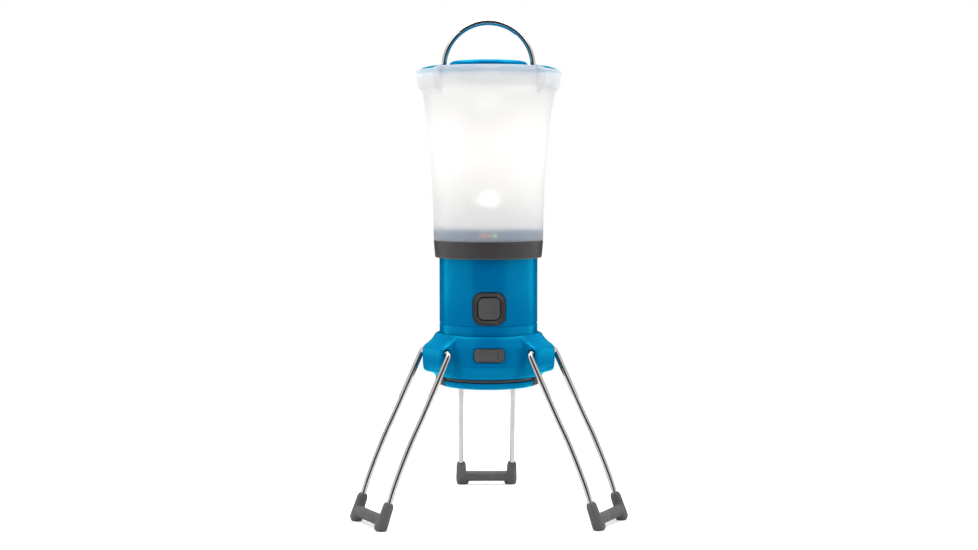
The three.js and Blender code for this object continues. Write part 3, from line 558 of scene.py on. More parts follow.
def circuit_board():
    """Green solder mask with lighter green tracks."""
    nodes = Nodes("circuit_board")
    tracks = nodes.node("ShaderNodeTexVoronoi", Scale=420, feature="DISTANCE_TO_EDGE")
    nodes.link(nodes.coordinates, tracks.inputs["Vector"])
    share = nodes.between(tracks.outputs["Distance"], 1, 0, 0.03, 0.08)
    tone = nodes.blend(share, (0.015, 0.11, 0.055), (0.05, 0.22, 0.10))
    gloss = nodes.between(nodes.noise(300, 3), 0.25, 0.45)
    relief = nodes.bump(share, 0.4, 0.00003)
    return nodes.done(nodes.principled(tone, gloss, relief))


DRAWN = (4000, 4000, 60)
MATERIALS = {
    "frosted_globe": frosted_globe(),
    "band": plastic("band", (0.040, 0.036, 0.037), 0.42, 0.06, 2600, 0.00003),
    "bezel": plastic("bezel", (0.026, 0.024, 0.024), 0.42, 0.06, 2600, 0.00003),
    "soft_rubber": plastic("soft_rubber", (0.072, 0.070, 0.071), 0.62, 0.08, 2200, 0.00005),
    "blue_shell": glossy_shell("blue_shell", (0.0, 0.157, 0.392), 0.15, 0.04, (0.02, 0.80, 0.93)),
    "white_reflector": thin_white(),
    "screws": metal("screws", (0.60, 0.60, 0.60), 0.32, 0.08, (900, 900, 900)),
    "wire": metal("wire", (0.53, 0.505, 0.49), 0.11, 0.05, DRAWN),
    "heat_sink": metal("heat_sink", (0.75, 0.76, 0.77), 0.42, 0.08, (900, 900, 2600)),
    "led_board": plastic("led_board", (0.82, 0.82, 0.80), 0.4, 0.05, 1600, 0.00001),
    "led_lens": lit_plastic(
        "led_lens", 900, (1.0, 0.93, 0.75), (1.0, 0.97, 0.86), (0.05, 0.15), (1.0, 0.95, 0.86), 5.5
    ),
    "status_red": pilot_light("status_red", (0.9, 0.10, 0.05), 0.7),
    "status_amber": pilot_light("status_amber", (0.75, 0.36, 0.04), 0.2),
    "status_green": pilot_light("status_green", (0.35, 0.9, 0.40), 0.6),
    "circuit_board": circuit_board(),
    "black_plastic": plastic("black_plastic", (0.025, 0.025, 0.028), 0.4, 0.08, 1800, 0.00002),
    "socket_metal": metal("socket_metal", (0.65, 0.65, 0.65), 0.28, 0.08, (300, 3000, 3000)),
    "cell_can": metal("cell_can", (0.55, 0.56, 0.58), 0.30, 0.08, (2600, 2600, 200)),
    "contact_metal": metal("contact_metal", (0.70, 0.60, 0.40), 0.30, 0.08, (1200, 1200, 1200)),
    "foot_rubber": plastic(
        "foot_rubber", (0.082, 0.078, 0.076), 0.66, 0.08, 1500, 0.00008, mottle=0.16
    ),
}

for part in frame["record"]["subparts"]:
    node = frame["nodes"][part["node"]]
    node.data.materials.clear()
    node.data.materials.append(MATERIALS[part["material_slot"]])
    node.data.shade_smooth()
    node.data.set_sharp_from_angle(angle=math.radians(24))


def piece(obj, body, slot, *nodes, sharp_angle=34, material=None):
    """Finishes a piece: it rides on its body and stands for its CAD nodes."""
    finish_mesh(obj, sharp_angle)
    obj.data.materials.clear()
    obj.data.materials.append(MATERIALS[material or slot])
    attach(obj, body)
    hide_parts(*nodes)
    return obj


# ---- Globe ----

RIM_TOP = 211.8
WALL = 1.3
TAB_RADIUS = 28.6
TUBE = np.array(
    [(130.6, 26.1), (145, 26.3), (161, 27.0), (173, 28.0), (187.4, 29.3), (197, 30.8), (200, 31.1)]
)
TUBE_CURVE = np.array(through(TUBE, 8))
EAR_HALF_WIDTH = 8.1


def tube_radius(height):
    return np.interp(height, TUBE_CURVE[:, 0], TUBE_CURVE[:, 1])


def ear_reach(offset, reach, half_width, soft):
    """Radius of an ear's plan, a rounded rectangle, at degrees off its middle."""
    angle = np.radians(np.clip(np.abs(offset), 0.01, 60))
    end = reach / np.cos(angle)
    side = half_width / np.sin(angle)
    return smooth_min(end, side, soft)


def globe_outside(offset, height):
    """Radius of the globe's outside, at degrees off the nearest ear's middle."""
    reach = np.interp(height, [198.6, 199.3, 201.8, RIM_TOP], [24, 31.1, 33.7, 35.0])
    ear = ear_reach(offset, reach, EAR_HALF_WIDTH, 0.7)
    return smooth_max(tube_radius(height), ear, 0.9) - 0.05


def globe_inside(offset, height, tab_side):
    plain = tube_radius(height) - WALL
    reach = np.interp(height, [202.3, 202.7, 203.6, RIM_TOP], [20, 31.0, 32.5, 33.7])
    ear = ear_reach(offset, reach, EAR_HALF_WIDTH - WALL, 0.5)
    radius = smooth_max(plain, ear, 0.9)
    tab = ramp(height, 208.75, 209.05) * (1 - ramp(height, 210.8, 211.1))
    tab = tab * (1 - ramp(tab_side - 0.42 * (height - 209), 5.3, 5.6))
    return radius * (1 - tab) + TAB_RADIUS * tab


def make_globe():
    angles = angle_columns(1.5, 0.25, 10, 19, LEGS.values())
    angles = np.union1d(angles, angle_columns(3, 0.25, 9.5, 13.5, TABS))
    offset = nearest_offset(angles, list(LEGS.values()))
    tab_side = np.abs(29 * np.radians(nearest_offset(angles, list(TABS))))
    along = np.where(np.abs(offset) < 20, np.cos(np.radians(offset)), 0.9)

    def rim_height(radius):
        return RIM_TOP - 0.4 * np.maximum(0, radius * along - 30.5)

    def level(value):
        return np.full(len(angles), value)

    foot = [
        (24.8, 130.3), (24.8, 128.9), (24.9, 128.8), (25.2, 128.8), (25.3, 128.9), (25.3, 130.5),
        (25.45, 130.6), (25.9, 130.6),
    ]
    loops = [(level(radius), level(height)) for radius, height in foot]
    heights = np.concatenate(
        [[130.8], np.arange(133, 198.5, 3), np.arange(198.6, 204.1, 0.25), np.arange(205, 209, 1)]
    )
    for height in heights:
        loops.append((globe_outside(offset, level(height)), level(height)))
    edge = rim_height(globe_outside(offset, level(RIM_TOP)))
    for share in (0.35, 0.7):
        height = 209 + (edge - 0.4 - 209) * share
        loops.append((globe_outside(offset, height), height))
    outer = globe_outside(offset, edge - 0.4)
    loops.append((outer, edge - 0.4))
    loops.append((outer - 0.1, edge - 0.13))
    loops.append((outer - 0.35, rim_height(outer - 0.35)))
    inner_radius = globe_inside(offset, level(RIM_TOP - 0.3), tab_side)
    inner_edge = rim_height(inner_radius)
    loops.append((inner_radius + 0.35, inner_edge))
    loops.append((inner_radius + 0.1, inner_edge - 0.13))
    loops.append((inner_radius, inner_edge - 0.4))
    for share in (0.85, 0.7, 0.5, 0.35, 0.2):
        height = 208.6 + (inner_edge - 0.4 - 208.6) * share
        loops.append((globe_inside(offset, height, tab_side), height))
    inside_heights = np.concatenate(
        [[208.4, 207, 205.5], np.arange(204.2, 202.1, -0.15), np.arange(199, 131, -3.5), [130.9]]
    )
    for height in inside_heights:
        loops.append((globe_inside(offset, level(height), tab_side), level(height)))
    rows = len(loops)
    radians = np.radians(angles)
    vertices = np.empty((len(angles), rows, 3))
    for row, (radius, height) in enumerate(loops):
        vertices[:, row, 0] = radius * np.cos(radians)
        vertices[:, row, 1] = radius * np.sin(radians)
        vertices[:, row, 2] = height
    obj = raw_object("globe_shell", vertices.reshape(-1, 3), loops_to_faces(len(angles), rows))
    return piece(obj, "head", "frosted_globe", "globe", sharp_angle=40)


make_globe()

# ---- Band and cap ----

band = ring_of(
    "globe_band_ring",
    rounded(
        [
            (23.8, 122.3, 0.25), (25.2, 122.3, 0.35), (25.45, 122.9, 0.4), (26.1, 129.9, 0.2),
            (26.0, 130.3, 0.1), (25.6, 130.3, 0.1), (25.6, 128.5, 0.1), (24.5, 128.5, 0.1),
            (24.5, 130.3, 0.1), (23.8, 130.3, 0.2), (23.8, 127.3, 0.1), (24.9, 127.3, 0.1),
            (24.9, 124.9, 0.1), (23.8, 124.9, 0.1),
        ]
    ),
)
piece(band, "head", "band", "globe_band")

cap = disc_of(
    "cap_body",
    open_rounded(
        [
            (0, 213.6, 0), (17.3, 213.0, 0.3), (17.4, 207.5, 0.3), (26.2, 207.5, 0.4),
            (27.8, 209.0, 0.3), (29.35, 209.0, 0.2), (29.35, 211.4, 0.3), (28.9, 211.7, 0.2),
            (28.2, 211.7, 0.3), (26.7, 209.3, 0.6), (25.8, 208.9, 0.5), (19.5, 208.9, 0.5),
            (18.8, 209.7, 0.6), (18.6, 213.8, 0.9), (17.5, 214.85, 0.9), (15.6, 215.0, 0.3),
            (15.3, 214.75, 0.2), (14.6, 214.75, 0.2), (14.3, 215.05, 0.3), (0, 215.35, 0),
        ]
    ),
)


TONGUE_HALF_WIDTH = 6.35


def cap_tongue(azimuth):
    """The cap's filling of an ear: a rounded block."""
    side = rounded(
        [
            (27.3, 208.0, 0.2), (31.6, 208.0, 0.3), (32.7, 209.3, 0.5), (32.65, 210.75, 0.5),
            (32.1, 211.25, 0.4), (28.4, 212.35, 0.5), (27.3, 211.5, 0.2),
        ],
        3,
    )
    return prism("cap_tongue", side, -TONGUE_HALF_WIDTH, TONGUE_HALF_WIDTH, azimuth=azimuth)


def soften(obj, width, segments=3, angle=40):
    """Rounds the object's sharp edges."""
    modifier = obj.modifiers.new("soften", "BEVEL")
    modifier.width = width * MM
    modifier.segments = segments
    modifier.limit_method = "ANGLE"
    modifier.angle_limit = math.radians(angle)
    modifier.use_clamp_overlap = True
    bake_modifiers(obj)
    return obj


def block(name, x0, x1, y0, y1, z0, z1, round_by=0.3, azimuth=0):
    outline = [(x0, y0), (x1, y0), (x1, y1), (x0, y1)]
    made = prism(name, outline, z0, z1, upright=False, azimuth=azimuth)
    return soften(made, round_by) if round_by else made


def rod(name, radius, start, end, sides=28):
    return sweep(name, [start, (np.array(start) + end) / 2, end], radius, sides, 0.05)


combine(
    cap,
    [soften(cap_tongue(azimuth), 0.35) for azimuth in LEGS.values()]
    + [block("saddle", x - 1, x + 1, -3.5, 3.5, 208.5, 212.1, 0.6) for x in (-23.9, 23.9)]
    + [block("hook_block", 11, 17.5, -4.5, 4.5, 208, 213.3, 0.2, azimuth) for azimuth in (0, 180)],
    "UNION",
)
# how far each hook stands off the middle, and the height of its bent-in ends
HOOK_PLANE = 1.35
PIN_HEIGHT = 210.6
NOTCH = [(-5.9, 208.4), (5.9, 208.4), (7.1, 212.4), (-7.1, 212.4)]
combine(
    cap,
    [prism("notch", NOTCH, -31, -27.75, azimuth=azimuth - 270) for azimuth in TABS]
    + [
        rod("bore", 1.5, (12.3, -HOOK_PLANE, PIN_HEIGHT), (20, -HOOK_PLANE, PIN_HEIGHT)),
        rod("bore", 1.5, (-12.3, HOOK_PLANE, PIN_HEIGHT), (-20, HOOK_PLANE, PIN_HEIGHT)),
    ],
    "DIFFERENCE",
)
piece(cap, "head", "blue_shell", "top_cap")

# ---- Hooks ----

HOOK_RADIUS = 21.1
for name, sign, body in (("front", 1, "front_hook"), ("rear", -1, "rear_hook")):
    path = [np.array((x, -HOOK_PLANE, PIN_HEIGHT)) for x in (12.8, 15.5)]
    path += bend((18.9, -HOOK_PLANE, 212.8), (1, 0, 0), (0, 0, 1), 2.2, -90, 0, 10)
    path += bend((0, -HOOK_PLANE, 212.4), (1, 0, 0), (0, 0, 1), HOOK_RADIUS, 2.5, 130, 72)
    hook = sweep(f"hook_wire_{name}", turned(path, 0 if sign > 0 else 180), 1.2, 24, 0.35)
    piece(hook, body, "wire", f"hook_{name}", sharp_angle=50)

# ---- Housing and collar ----

BODY_RADIUS = 23.4
housing = ring_of(
    "housing_shell",
    rounded(
        [
            (22.95, 66.3, 0.15), (24.9, 66.3, 0.25), (24.9, 67.5, 0.25), (BODY_RADIUS, 67.5, 0.1),
            (BODY_RADIUS, 90.6, 0.12), (23.02, 90.78, 0.1), (23.02, 91.2, 0.1),
            (BODY_RADIUS, 91.38, 0.12), (BODY_RADIUS, 130.4, 0.3), (22.0, 130.4, 0.3),
            (22.0, 70.9, 0.1), (22.95, 70.3, 0.1),
        ]
    ),
    256,
)


def rounded_square(width, height, corner, pieces=10):
    """A rounded rectangle as points, counter-clockwise from its lower right."""
    points = []
    x, y = width / 2 - corner, height / 2 - corner
    for centre, start in (((x, -y), -90), ((x, y), 0), ((-x, y), 90), ((-x, -y), 180)):
        for angle in np.radians(np.linspace(start, start + 90, pieces + 1)):
            across, up = corner * math.cos(angle), corner * math.sin(angle)
            points.append((centre[0] + across, centre[1] + up))
    return points


def front_window(height, outline, near, far):
    """A cutter through the front, from the depth near to the depth far."""
    return prism("window", [(x, z + height) for x, z in outline], near, far)


BUTTON_HEIGHT = 99.35
PORT_HEIGHT = 77.9
PORT_OUTLINE = rounded_square(8.8, 3.8, 0.6)
combine(
    housing,
    [
        front_window(BUTTON_HEIGHT, rounded_square(15.8, 15.8, 4.7), -25, -18),
        front_window(PORT_HEIGHT, PORT_OUTLINE, -26, -18),
    ],
    "DIFFERENCE",
)
piece(housing, "body", "blue_shell", "housing")

collar = ring_of(
    "collar_ring",
    rounded(
        [
            (20.4, 126.5, 0.2), (21.7, 126.5, 0.2), (21.7, 130.7, 0.1), (24.4, 130.7, 0.2),
            (24.4, 136.2, 0.5), (22.2, 136.2, 0.2), (22.2, 133.9, 0.1), (20.4, 133.9, 0.2),
        ]
    ),
)
combine(
    collar,
    [rod("hole", 1.1, (x, -26, 133.2), (x, -18, 133.2)) for x in (-2.6, 0, 2.6)],
    "DIFFERENCE",
)
piece(collar, "body", "blue_shell", "deck_collar")

# ---- Leg hub: the surface where rays from a circle inside its wall leave the blended solid ----

HUB_SPINE = (24.6, 76.5)
PIVOT = np.array((28.7, 0, 78.65))
SIDEWAYS = np.array((0.0, 1.0, 0.0))
LOBE_TOP = np.array(
    [
        (20, 90), (25.3, 86.4), (26.0, 85.3), (27.5, 83.85), (29.2, 82.6), (31.2, 81.4),
        (33.2, 80.3), (36, 79.0),
    ]
)
LOBE_REACH = 31.6
LOBE_HALF_WIDTH = 10.8
LOBE_CORNER = 3.2


def hub_field(radius, offset, height):
    """Below 0 inside the hub, in millimetres, at degrees off the nearest lobe's middle."""
    outline = np.interp(
        height, [65, 66.4, 67.1, 72, 81.3, 83, 85.2, 86.2, 87.5],
        [25.6, 26.05, 26.5, 26.9, 26.9, 26.45, 25.65, 25.35, 25.1],
    )
    wall = smooth_max(smooth_max(radius - outline, 66.4 - height, 0.4), height - 86.6, 0.9)
    angle = np.radians(offset)
    along, across = radius * np.cos(angle), np.abs(radius * np.sin(angle))
    past_x = np.maximum(along - (LOBE_REACH - LOBE_CORNER), 0)
    past_y = np.maximum(across - (LOBE_HALF_WIDTH - LOBE_CORNER), 0)
    inside = np.minimum(
        np.maximum(along - LOBE_REACH, across - LOBE_HALF_WIDTH) + LOBE_CORNER, 0
    )
    plan = np.hypot(past_x, past_y) + inside - LOBE_CORNER
    top = 0.84 * (height - np.interp(radius, LOBE_TOP[:, 0], LOBE_TOP[:, 1]))
    lobe = smooth_max(plan, top, 1.1)
    lobe = smooth_max(lobe, 68.0 - height, 2.4)
    return smooth_max(smooth_min(wall, lobe, 1.0), height - 86.65, 0.3)


def make_hub():
    angles = angle_columns(1.25, 0.35, 13, 30, LEGS.values())
    offset = nearest_offset(angles, list(LEGS.values()))
    directions = np.radians(np.linspace(-85.5, 93, 96))
    across, up = np.cos(directions)[None, :], np.sin(directions)[None, :]
    low = np.zeros((len(angles), len(directions)))
    high = np.full_like(low, 14.0)
    for _ in range(30):
        middle = (low + high) / 2
        field = hub_field(
            HUB_SPINE[0] + middle * across, offset[:, None], HUB_SPINE[1] + middle * up
        )
        low = np.where(field < 0, middle, low)
        high = np.where(field < 0, high, middle)
    radius = HUB_SPINE[0] + low * across
    height = HUB_SPINE[1] + low * up
    closure = np.array([(23.72, 86.3), (23.7, 85.9), (23.7, 67.8), (25.2, 67.8), (25.2, 66.5)])
    count = len(angles)
    radius = np.hstack([radius, np.tile(closure[:, 0], (count, 1))])
    height = np.hstack([height, np.tile(closure[:, 1], (count, 1))])
    radians = np.radians(angles)[:, None]
    vertices = np.stack([radius * np.cos(radians), radius * np.sin(radians), height], axis=-1)
    rows = vertices.shape[1]
    hub = raw_object("hub_shell", vertices.reshape(-1, 3), loops_to_faces(count, rows))
    tools = []
    for azimuth in LEGS.values():
        for side in (-1, 1):
            hole, mouth = (
                turned([PIVOT + side * out * SIDEWAYS for out in outs], azimuth)
                for outs in ((4.8, 8.0, 12.5), (9.9, 10.75, 12.5))
            )
            tools.append(sweep("pin_hole", hole, 1.62, 28, 0.05))
            tools.append(cone("mouth", mouth, (1.5, 2.35, 2.5), 32))
    tools.append(front_window(PORT_HEIGHT, rounded_square(14.9, 7.0, 2.4, 8), -30, -24.3))
    tools.append(front_window(PORT_HEIGHT, PORT_OUTLINE, -27, -22))
    combine(hub, tools, "DIFFERENCE")
    return piece(hub, "body", "blue_shell", "leg_hub", sharp_angle=38)


def cone(name, path, radii, sides):
    """A round solid along a straight path whose radius changes from point to point."""
    path = np.asarray(path, float)
    tangent = (path[-1] - path[0]) / np.linalg.norm(path[-1] - path[0])
    side = np.cross(tangent, (0, 0, 1))
    side /= np.linalg.norm(side)
    across = np.cross(tangent, side)
    angles = 2 * np.pi * np.arange(sides) / sides
    rings = [
        centre + size * (np.cos(angles)[:, None] * side + np.sin(angles)[:, None] * across)
        for centre, size in zip(path, radii)
    ]
    return tube_of(name, rings)


make_hub()

# ---- Front controls ----


def framed(name, sections, height, closed=True):
    """A frame or a button from rounded outlines (width, height, corner, depth). Each is laid on
    a cylinder of that radius, or on a flat plane where the depth is below 0."""
    rings = []
    for width, tall, corner, depth in sections:
        flat = np.array(rounded_square(width, tall, corner, 12))
        y = np.full(len(flat), depth) if depth < 0 else -np.sqrt(depth**2 - flat[:, 0] ** 2)
        rings.append(np.stack([flat[:, 0], y, flat[:, 1] + height], axis=1))
    return tube_of(name, rings, closed)


bezel = framed(
    "button_frame",
    [
        (15.4, 15.4, 4.5, -20.9), (15.4, 15.4, 4.5, 22.9), (15.3, 15.3, 4.45, 23.2),
        (15.0, 15.0, 4.35, 23.32), (14.2, 14.2, 4.0, 23.34), (13.6, 13.6, 3.8, 23.3),
        (12.6, 12.6, 3.5, 22.95), (11.4, 11.4, 3.1, 22.5), (10.8, 10.8, 2.85, 22.25),
        (10.6, 10.6, 2.75, 22.0), (10.6, 10.6, 2.75, -20.9),
    ],
    BUTTON_HEIGHT,
)
piece(bezel, "body", "band", "button_bezel", sharp_angle=50, material="bezel")

pad = framed(
    "button_pad_cap",
    [
        (12.4, 12.4, 2.5, -19.9), (12.4, 12.4, 2.5, -20.45), (10.25, 10.25, 2.6, -20.5),
        (10.25, 10.25, 2.6, 22.2), (10.15, 10.15, 2.6, 22.5), (9.8, 9.8, 2.5, 22.68),
        (9.2, 9.2, 2.4, 22.72), (8.2, 8.2, 2.2, 22.6), (6.5, 6.5, 1.9, 22.45),
        (4.5, 4.5, 1.4, 22.36), (2.0, 2.0, 0.8, 22.32),
    ],
    BUTTON_HEIGHT,
    closed=False,
)
nub = rod("nub", 2.0, (0, -20.2, BUTTON_HEIGHT), (0, -19.4, BUTTON_HEIGHT))
combine(pad, [nub], "UNION")
piece(pad, "power_button", "soft_rubber", "button_pad", sharp_angle=50)

flap = framed(
    "port_cover_plate",
    [
        (13.9, 6.0, 1.9, 25.5), (14.3, 6.4, 2.1, 25.8), (14.3, 6.4, 2.1, 26.55),
        (14.15, 6.25, 2.05, 26.8), (13.8, 5.9, 1.9, 26.9), (12.6, 4.7, 1.4, 26.9),
        (12.2, 4.3, 1.1, 26.8), (8.0, 2.6, 0.8, 26.78), (4.0, 1.2, 0.4, 26.78),
    ],
    PORT_HEIGHT,
    closed=False,
)
lip = framed(
    "lip",
    [
        (1.5, 4.1, 0.7, 26.0), (1.5, 4.1, 0.7, 27.0), (1.3, 3.9, 0.6, 27.3),
        (0.8, 3.4, 0.35, 27.42),
    ],
    PORT_HEIGHT,
    closed=False,
)
# the lip is moved aside along the cover's curve
LIP_SHIFT = 5.2
LIP_RADIUS = 27.0
for vertex in lip.data.vertices:
    old_x = vertex.co.x / MM
    vertex.co.x += LIP_SHIFT * MM
    old_depth = math.sqrt(LIP_RADIUS**2 - old_x**2)
    vertex.co.y += (old_depth - math.sqrt(LIP_RADIUS**2 - (old_x + LIP_SHIFT) ** 2)) * MM
combine(flap, [lip], "UNION")
piece(flap, "port_flap", "soft_rubber", "port_cover", sharp_angle=50)

# ---- Battery cover ----

cover = disc_of(
    "battery_cover_shell",
    open_rounded(
        [
            (0, 61.9, 0), (8.6, 61.9, 0.2), (8.9, 62.15, 0.1), (9.5, 62.15, 0.1), (9.8, 61.9, 0.2),
            (13.8, 61.9, 0.3), (14.5, 61.4, 0.3), (22.6, 61.4, 0.9), (23.9, 62.0, 1.2),
            (24.7, 63.2, 0.9), (24.85, 64.35, 0.2), (24.7, 64.6, 0.2), (21.6, 64.6, 0.1),
            (21.6, 70.6, 0.3), (20.2, 70.6, 0.3), (20.2, 62.95, 0.2), (0, 62.95, 0),
        ]
    ),
    256,
)


def band_sector(name, outline, half_angle, azimuth, steps=28, ribs=0.0, side_taper=0.0):
    """A (radius, height) outline swept round the axis through a part turn, closed at its ends."""
    section = np.asarray(outline, float)
    outer = section[:, 0] > section[:, 0].max() - 0.45
    columns = []
    for step in range(steps + 1):
        share = 2 * step / steps - 1
        angle = math.radians(azimuth + half_angle * share)
        swell = ribs * 0.5 * (1 - math.cos(2 * math.pi * step / 4)) if 0 < step < steps else 0
        edge = side_taper if step in (0, steps) else 0
        reach = section[:, 0] + np.where(outer, swell - edge, 0)
        columns.append(
            np.stack([reach * math.cos(angle), reach * math.sin(angle), section[:, 1]], axis=1)
        )
    return tube_of(name, columns)


def lug(azimuth):
    """A short piece of thread on the cover's spigot."""
    columns = []
    for step in range(13):
        angle = -12 + 2 * step
        middle = 68.6 + 0.05 * angle
        height = 0.35 if step in (0, 12) else 0.8
        outer = 22.0 if step in (0, 12) else 22.6
        turn = math.radians(azimuth + angle)
        section = [(21.0, -height), (outer, -0.6 * height), (outer, 0.6 * height), (21.0, height)]
        columns.extend(
            (radius * math.cos(turn), radius * math.sin(turn), middle + lift)
            for radius, lift in section
        )
    faces = loops_to_faces(13, 4, closed_columns=False)
    faces += [(0, 1, 2, 3), (51, 50, 49, 48)]
    return raw_object("lug", columns, faces)


POCKET = [(23.3, 60.5), (27, 60.5), (27, 66), (23.3, 66)]
combine(cover, [lug(azimuth) for azimuth in LEGS.values()], "UNION")
combine(
    cover,
    [band_sector("pocket", POCKET, 32.8, azimuth, 40) for azimuth in PADS],
    "DIFFERENCE",
)
piece(cover, "cover", "blue_shell", "battery_cover")

for index, azimuth in enumerate(PADS):
    outline = rounded(
        [
            (23.6, 62.15, 0.1), (24.1, 61.95, 0.2), (24.85, 62.6, 0.4), (25.0, 63.4, 0.4),
            (25.0, 65.95, 0.3), (24.3, 65.95, 0.2), (24.3, 64.6, 0.1), (23.6, 64.6, 0.1),
        ]
    )
    grip = band_sector("grip_" + str(index + 1), outline, 32, azimuth, 128, 0.2, 0.25)
    piece(grip, "cover", "soft_rubber", f"grip_pad_{index + 1}", sharp_angle=45)

gasket = ring_of(
    "gasket_ring",
    rounded([(22.9, 64.75, 0.4), (24.2, 64.75, 0.45), (24.2, 66.1, 0.45), (22.9, 66.1, 0.4)], 5),
)
piece(gasket, "contact_carrier", "soft_rubber", "cover_gasket")

# ---- Legs and feet, drawn for a leg along +X and turned to its azimuth ----

TILT = math.radians(20.9)
FOOT_UP = np.array((-math.sin(TILT), 0, math.cos(TILT)))
SOLE = np.array((65.2, 0, 0))
SIDE_VIEW = [(42.9, 50.7), (48.7, 39.9), (52.1, 32.8), (55.3, 25.7), (58.3, 18.5)]
# half the distance between a leg's two wires, at the hub and at the foot
LEG_HALF_WIDTH = 13.05
FOOT_HALF_WIDTH = 13.3
SPREAD = (FOOT_HALF_WIDTH - LEG_HALF_WIDTH) / PIVOT[2]
ELBOW = 2.2


def leg_path():
    """The middle line of a leg's wire, from one bent-in end round the foot to the other."""
    towards = PIVOT - np.array((SIDE_VIEW[0][0], 0, SIDE_VIEW[0][1]))
    towards /= np.linalg.norm(towards)
    elbow = PIVOT - ELBOW * towards + (LEG_HALF_WIDTH - ELBOW) * SIDEWAYS
    half = [PIVOT + 5.8 * SIDEWAYS, PIVOT + 8.4 * SIDEWAYS]
    half += bend(elbow, towards, SIDEWAYS, ELBOW, 0, 90, 10)
    straight = [half[-1]]
    for radius, height in SIDE_VIEW:
        across = LEG_HALF_WIDTH + SPREAD * (PIVOT[2] - height)
        straight.append(np.array((radius, across, height)))
    straight.append(SOLE + 13.2 * FOOT_UP + FOOT_HALF_WIDTH * SIDEWAYS)
    half += through(straight, 7)[1:]
    turn = SOLE + 7.5 * FOOT_UP + 10.3 * SIDEWAYS
    half += bend(turn, SIDEWAYS, FOOT_UP, 3.0, 0, -90, 10)
    half = np.array(half)
    return np.vstack([half, (half * (1, -1, 1))[::-1]])


def foot_cone(rows, radii, azimuth):
    """A round solid through points (sideways, up) from the sole's middle, tilted as the foot is."""
    path = [SOLE + side * SIDEWAYS + up * FOOT_UP for side, up in rows]
    return cone("part", turned(path, azimuth), radii, 32)


SOCKET = [
    (12.9, -0.3), (12.95, 0.2), (13.0, 1.2), (13.1, 3.2), (13.2, 7.0), (13.2, 11.6),
    (13.2, 12.9), (13.2, 13.5),
]
PAD = [(11.9, -0.5), (11.9, 0.0), (11.9, 1.0), (12.2, 3.0), (12.9, 6.5)]
BORE = [(FOOT_HALF_WIDTH, up) for up in (11.6, 12.9, 14.5)]


def mirrored(rows, side):
    return [(side * across, up) for across, up in rows]


def make_foot(name, azimuth):
    """A rubber foot: two rounded sockets, a round crossbar and two pads, melted together."""
    parts = []
    for side in (-1, 1):
        socket_radii = (1.6, 2.35, 2.85, 2.9, 2.65, 2.55, 2.15, 1.5)
        parts.append(foot_cone(mirrored(SOCKET, side), socket_radii, azimuth))
        parts.append(foot_cone(mirrored(PAD, side), (1.8, 2.4, 2.8, 2.85, 2.4), azimuth))
    crossbar = [(-12.5, 4.6), (0, 4.6), (12.5, 4.6)]
    parts.append(foot_cone(crossbar, (2.75, 2.7, 2.75), azimuth))
    foot = parts[0]
    combine(foot, parts[1:], "UNION")
    remesh = foot.modifiers.new("melt", "REMESH")
    remesh.mode = "VOXEL"
    remesh.voxel_size = 0.32 * MM
    smooth = foot.modifiers.new("smooth", "SMOOTH")
    smooth.factor = 0.6
    smooth.iterations = 9
    bake_modifiers(foot)
    floor_cut = block("floor_cut", 40, 90, -40, 40, -12, 0, 0, azimuth)
    sockets = [foot_cone(mirrored(BORE, side), (1.42, 1.55, 2.2), azimuth) for side in (-1, 1)]
    combine(foot, [floor_cut, *sockets], "DIFFERENCE")
    foot.name = f"foot_boot_{name}"
    return foot


for name, azimuth in LEGS.items():
    leg = sweep(f"leg_rod_{name}", turned(leg_path(), azimuth), 1.36, 20, 0.3)
    piece(leg, f"{name}_leg", "wire", f"leg_wire_{name}", sharp_angle=50)
    piece(make_foot(name, azimuth), f"{name}_leg", "foot_rubber", f"foot_{name}", sharp_angle=50)

# ---- Floor, light and camera ----


# in metres; just under the soles, so that the two faces don't coincide
FLOOR_Z = -0.0001
FLOOR_RADIUS = 0.38
FLOOR_SIDES = 96


def make_floor():
    """A pale disc, small enough for the lantern's walls to mirror the studio beyond it."""
    mesh = bpy.data.meshes.new("floor")
    turns = np.radians(np.linspace(0, 360, FLOOR_SIDES, endpoint=False))
    sides = np.cos(turns) * FLOOR_RADIUS, np.sin(turns) * FLOOR_RADIUS
    rim = np.stack([*sides, np.full(FLOOR_SIDES, FLOOR_Z)], axis=1).tolist()
    mesh.from_pydata(rim, [], [tuple(range(FLOOR_SIDES))])
    floor = bpy.data.objects.new("floor", mesh)
    scene.collection.objects.link(floor)
    nodes = Nodes("floor")
    paper = nodes.noise(12, 3)
    tone = nodes.blend(nodes.between(paper, 0, 1), (0.84, 0.84, 0.84), (0.86, 0.86, 0.86))
    rough = nodes.between(paper, 0.8, 0.9)
    shader = nodes.principled(tone, rough, Specular_IOR_Level=0.0)
    glow = nodes.node("ShaderNodeEmission")
    seen = nodes.node("ShaderNodeLightPath").outputs["Is Camera Ray"]
    nodes.link(nodes.between(seen, 0, 0.45, 0, 1), glow.inputs["Strength"])
    both = nodes.feed(nodes.node("ShaderNodeAddShader"), shader, glow.outputs[0])
    mesh.materials.append(nodes.done(both))


make_floor()


# brightness of the surroundings by degrees from the camera's side
WORLD = (
    (0, 0.05), (33, 0.06), (47, 1.12), (106, 1.22), (110, 1.7), (126, 1.7), (130, 0.10),
    (180, 0.08),
)
# the same well above the horizon, where the backdrop is bright too
WORLD_HIGH = ((0, 0.05), (33, 0.06), (47, 1.0), (106, 1.0), (180, 0.80))
# how far the bright sides lean back with height
WEDGE = 0.42


